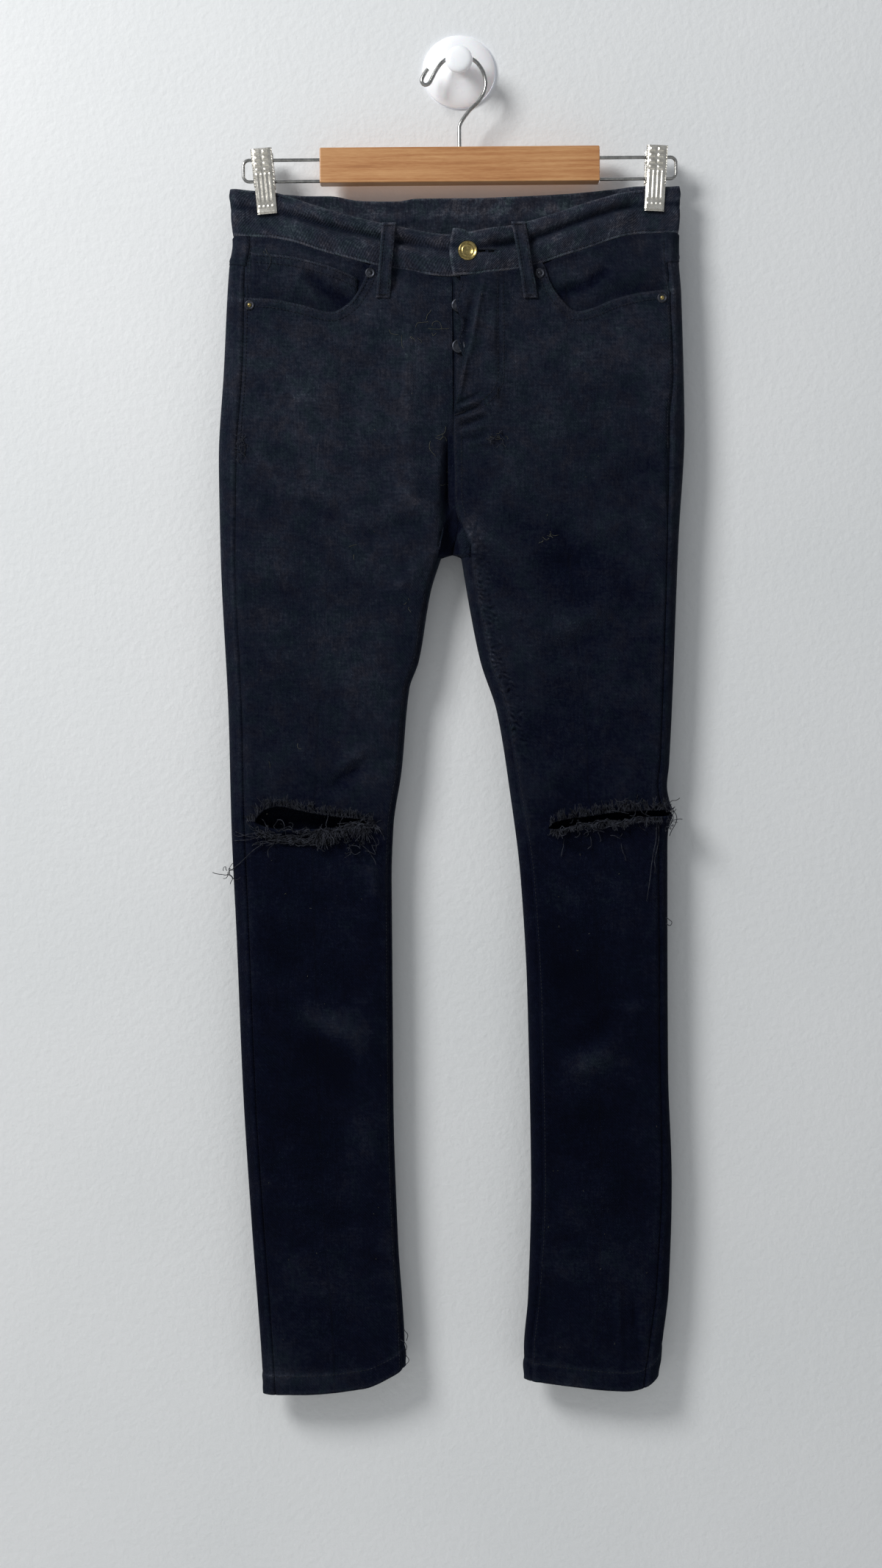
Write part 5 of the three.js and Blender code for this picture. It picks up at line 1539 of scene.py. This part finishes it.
def strand(start, heading, length, steps, curl, droop=0.0, out=0.0):
    """A loose yarn: it leaves the cloth along a heading and wanders, but never far out from it."""
    spot = np.array(start, float)
    heading = np.array(heading, float)
    heading /= np.linalg.norm(heading)
    route = [tuple(spot)]
    turn = rng.normal(0, curl, 3)
    for k in range(steps):
        turn = 0.75 * turn + rng.normal(0, curl, 3)
        heading = heading + turn * 0.35 + np.array([0, -out, -droop]) / steps
        heading /= np.linalg.norm(heading)
        spot = spot + heading * length / steps
        spot[1] = max(spot[1], PROUD + 1.5 * math.sin(k))
        route.append(tuple(spot))
    return route


CLUMP = 2.3
PLY = 0.32


def fringe(name, side, curve, span, way, count, lengths, curl, droop, nodes):
    """Cut yarn ends along a torn edge. They lean together in clumps a couple of millimetres wide."""
    routes = []
    leans = rng.normal(0, 0.34, int((span[1] - span[0]) / CLUMP) + 2)
    reaches = rng.uniform(0.5, 1.25, len(leans))
    fullness = rng.uniform(0.35, 1, len(leans))
    for k in range(count):
        x = lerp(span[0], span[1], (k + rng.random()) / count)
        clump = int((x - span[0]) / CLUMP)
        if rng.random() > fullness[clump]:
            continue
        middle = span[0] + (clump + 0.5) * CLUMP
        z = float(curve[side](x))
        x0, y0, z0 = (float(v) for v in on(-1, x, z + way * rng.uniform(-0.3, 1.2), 0.3 + rng.uniform(0, 1.0)))
        lean = leans[clump] + (middle - x) * 0.34 + rng.normal(0, 0.1)
        length = rng.uniform(*lengths) * reaches[clump]
        heading = (lean, -rng.uniform(0.1, 0.55), way)
        routes.append(strand((x0, y0, z0), heading, length, 5, curl, droop, 0.1))
    return wire(name, routes, 0.27, FRAYED_COTTON, "fray", nodes, sides=0)


def ropy_yarns(curve, side, span, count, depth):
    """Drawn-out weft yarns, each of two twisted plies, in waves and loops along the foot of a tear."""
    routes = []
    for _ in range(count):
        begin = rng.uniform(span[0], lerp(*span, 0.65))
        finish = min(span[1], begin + rng.uniform(16, 50))
        along = np.linspace(begin, finish, 34)
        phase, step = rng.uniform(0, 6), rng.uniform(2.2, 5.5)
        fall = rng.uniform(0, depth)
        z = curve[side](along) - fall + rng.uniform(0.8, 2.6) * np.sin(along / step + phase)
        z = z + rng.uniform(0.3, 1.0) * np.sin(along / 1.2 + phase)
        x = along + rng.uniform(0.5, 2.4) * np.cos(along / 1.9 + phase)
        lift = 1.6 + rng.uniform(0, 1.6)
        for ply in (0, math.pi):
            twist = along / 0.9 + ply
            y = on(-1, x, z, lift)[1] + PLY * np.sin(twist)
            routes.append([(float(a), float(b), float(c)) for a, b, c in zip(x, y, z + PLY * np.cos(twist))])
    return routes


FRINGES = {
    # the edge it grows from, its span in x, up or down, number of ends, their lengths, curl and droop
    "right_upper": (RIP_UPPER, (-192, -79), 1, 640, (6, 10), 0.16, 0.1),
    "right_lower": (RIP_LOWER, (-132, -78), -1, 400, (7, 17), 0.2, 0.3),
    "left_upper": (RIP_UPPER, (74, 180), 1, 640, (6, 10), 0.14, 0.1),
    "left_lower": (RIP_LOWER, (75, 174), -1, 560, (4, 7.5), 0.22, 0.3),
}


def fringes():
    made = {"right": [], "left": []}
    for name, settings in FRINGES.items():
        side, edge = name.split("_")
        made[side].append(fringe(f"{name}_fringe", side, *settings, [f"{side}_fray_{edge}"]))
    return made


def hanging(points, wobble):
    """A long loose thread through (x, z) points, lying over the front."""
    line = np.array(smoothed(points, 5))
    shake = rng.normal(0, wobble * 0.35, line.shape)
    line = line + np.array([np.convolve(shake[:, k], np.ones(3) / 3, "same") for k in (0, 1)]).T
    y = on(-1, np.clip(line[:, 0], *CLOTH_ENDS), line[:, 1], 2.0)[1]
    return [(float(x), float(v), float(z)) for (x, z), v in zip(line, y)]


def tangle(x, z, width, height, count, length, lift=2.5):
    """A knot of curly loops of yarn."""
    routes = []
    for _ in range(count):
        x0, z0 = x + rng.normal(0, width), z + rng.normal(0, height)
        y0 = float(on(-1, np.clip(x0, *CLOTH_ENDS), z0, lift)[1]) - rng.uniform(0, 1.5)
        heading = rng.normal(0, 1, 3) * (1, 0.3, 1)
        routes.append(strand((x0, y0, z0), heading, length * rng.uniform(0.6, 1.3), 12, 0.55))
    return routes


THREADS = (
    # how far each wanders, and the (x, z) points it hangs through
    (1.2, (-83, -661), (-92, -668), (-101, -673), (-108, -677)),
    (1.2, (-84, -666), (-96, -669), (-112, -671)),
    (1.2, (-80, -667), (-94, -674), (-106, -674)),
    (1.2, (-86, -662), (-94, -672), (-100, -681)),
    (1.2, (-177, -678), (-188, -679), (-199, -681), (-204, -679)),
    (1.2, (-176, -681), (-190, -684), (-203, -685)),
    (1.2, (-178, -683), (-190, -681), (-202, -677)),
    (1.2, (-177, -686), (-184, -692), (-193, -700), (-200, -706), (-208, -712)),
    (1.2, (-96, -684), (-88, -692), (-79, -698), (-82, -690)),
    (1.2, (-120, -664), (-122, -672), (-118, -678)),
    (1.2, (-106, -664), (-110, -672), (-107, -680)),
    (0.6, (181, -659), (185, -664), (186, -671), (182, -679), (180, -684)),
    (0.6, (180, -661), (183, -668), (180, -676), (176, -680)),
    (1.2, (169, -669), (168, -684), (165, -700), (162, -722), (159, -741)),
    (1.2, (170, -670), (170, -688), (167, -702), (166, -716)),
    (1.2, (137, -690), (139, -698), (141, -705)),
    (1.2, (87, -686), (86, -693), (84, -701)),
    (1.2, (110, -684), (111, -690), (108, -695)),
    (1.2, (176, -756), (181, -759), (180, -763), (176, -761)),
    (0.3, (-170, -168), (-167, -173), (-168, -180), (-171, -185), (-174, -183)),
    (0.4, (-58, -1118), (-54, -1121), (-55, -1127)),
    (0.4, (-58, -1138), (-53, -1143), (-56, -1149)),
    (0.4, (-60, -1126), (-55, -1132), (-57, -1139)),
)


def loose_threads():
    routes = [hanging(points, wobble) for wobble, *points in THREADS]
    routes += ropy_yarns(RIP_LOWER, "right", (-186, -112), 30, 13)
    routes += ropy_yarns(RIP_LOWER, "right", (-124, -80), 8, 4)
    routes += ropy_yarns(RIP_LOWER, "left", (78, 172), 12, 4)
    routes += tangle(-209, -713, 1.2, 1.2, 9, 14, 3)
    routes += tangle(182, -668, 2.2, 6, 12, 16)
    routes += tangle(-150, -682, 22, 4, 26, 17)
    routes += tangle(31.4, -333, 4, 2.6, 17, 7, 0.8) + tangle(-194, -341, 2.4, 6, 20, 8, 0.8)
    routes += tangle(-95, -688, 8, 4, 14, 15)
    routes += tangle(-180, -680, 5, 3, 10, 14)
    routes += tangle(120, -678, 26, 2.5, 18, 12)
    routes += tangle(150, -658, 6, 2.5, 10, 13)
    routes += tangle(140, -652, 4, 2, 6, 12)
    return wire("loose_threads", routes, 0.32, FRAYED_COTTON, "fray", [], sides=0)


def lint_and_snags():
    """Pale fibres and specks caught in the cloth, the worn spot under the fly and two snags."""
    routes = []
    for x, z, width, height, count, length in (
            (-38, -240, 14, 8, 9, 16), (-24, -333, 6, 1.5, 4, 14), (76.5, -421, 3, 3, 7, 7),
            (-110, -440, 16, 6, 2, 9), (-14, -366, 3, 5, 3, 7), (-46, -480, 10, 20, 2, 8),
            (-120, -600, 30, 20, 2, 9), (31.4, -333, 3.6, 2.6, 7, 6), (-172, -176, 1, 4, 2, 9)):
        for _ in range(count):
            x0, z0 = x + rng.normal(0, width), z + rng.normal(0, height)
            x0 = float(np.clip(x0, *LINT_ENDS))
            y0 = float(on(-1, x0, z0, 0.5)[1])
            flat = strand((x0, y0, z0), rng.normal(0, 1, 3) * (1, 0.02, 1), length * rng.uniform(0.5, 1.2), 9, 0.5)
            routes.append([(px, float(on(-1, np.clip(px, *LINT_ENDS), pz, 0.4)[1]), pz) for px, _, pz in flat])
    for _ in range(60):
        z0 = rng.uniform(-1150, -195)
        side = "right" if rng.random() < 0.5 else "left"
        outer, inner = float(OUTER[side](z0)), float(inner_edge(side, z0))
        x0 = lerp(outer, inner, rng.uniform(0.08, 0.92))
        angle = rng.uniform(0, math.pi)
        reach = rng.uniform(0.3, 0.9)
        speck = [(x0 + t * reach * math.cos(angle), z0 + t * reach * math.sin(angle)) for t in (-1, 0, 1)]
        routes.append([tuple(float(v) for v in on(-1, x, z, 0.35)) for x, z in speck])
    return wire("lint_and_snags", routes, 0.17, LINT, "fray", [], sides=0)


# Stage, light and the making of everything


def stage():
    for name, size, turn, spot, finish in (
            ("wall_backdrop", (7, 4.6), math.pi / 2, (0, 0.0006, 0.3), painted_wall()),
            ("floor", (7, 7), 0, (0, 0, -1.55), pale_floor())):
        bm = bmesh.new()
        bmesh.ops.create_grid(bm, x_segments=1, y_segments=1, size=0.5)
        bmesh.ops.scale(bm, verts=bm.verts, vec=(size[0], size[1], 1))
        bmesh.ops.rotate(bm, verts=bm.verts, matrix=Matrix.Rotation(turn, 3, "X"))
        bmesh.ops.translate(bm, verts=bm.verts, vec=spot)
        piece = link(name, mesh_of(bm, name), finish)
        piece.visible_shadow = name != "wall_backdrop"


def lamp(name, at, towards, size, energy, colour):
    data = bpy.data.lights.new(name, "AREA")
    data.shape = "DISK"
    data.size = size
    data.energy = energy
    data.color = paint(colour)[:3]
    piece = bpy.data.objects.new(name, data)
    bpy.context.scene.collection.objects.link(piece)
    piece.location = at
    piece.rotation_euler = (Vector(towards) - Vector(at)).to_track_quat("-Z", "Y").to_euler()


def light():
    lamp("key", (-1.65, -1.7, 0.95), (-0.1, 0, -0.35), 1.0, 60, "fffefb")
    lamp("back_fill", (0.9, 2.2, 0.6), (0, 0, -0.6), 1.6, 55, "f4f7ff")
    world = bpy.data.worlds.new("room")
    world.use_nodes = True
    background = world.node_tree.nodes["Background"]
    background.inputs["Color"].default_value = paint("eef1f4")
    background.inputs["Strength"].default_value = 0.40
    bpy.context.scene.world = world
    bpy.context.scene.view_settings.view_transform = "Standard"


stage()
light()
SHEETS = {}
for leg in ("right", "left"):
    SHEETS[f"{leg}_front"] = front_panel(leg)
    SHEETS[f"{leg}_back"] = back_panel(leg)
    SHEETS[f"{leg}_yoke"] = yoke(leg)
    SHEETS[f"{leg}_facing"] = facing(leg)
    SHEETS[f"{leg}_pocket"] = patch_pocket(leg)
SHEETS["waistband"] = waistband()
SHEETS["coin_pocket"] = coin_pocket()
SHEETS["fly_shield"] = fly_shield()
for strip in BELT_LOOPS:
    SHEETS[strip] = belt_loop(strip)
metalwork()
hanger_wires()
for leg in ("right", "left"):
    for face_way in (-1, 1):
        clip_jaw(leg, face_way)
    clip_spring(leg)
turned("wall_peg_moulding", PEG, 0, 0, 0, PLASTIC, "peg", ["wall_peg"], 64)
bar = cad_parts["hanger_bar"]
bar.data.materials.clear()
bar.data.materials.append(BEECH)
stitching()
bartacks()
torn_edges = fringes()
loose_threads()
lint_and_snags()

# How each piece was cut: width, length and area in metres. The garment hangs by its waistband.
for name, piece in SHEETS.items():
    leg, _, kind = name.partition("_")
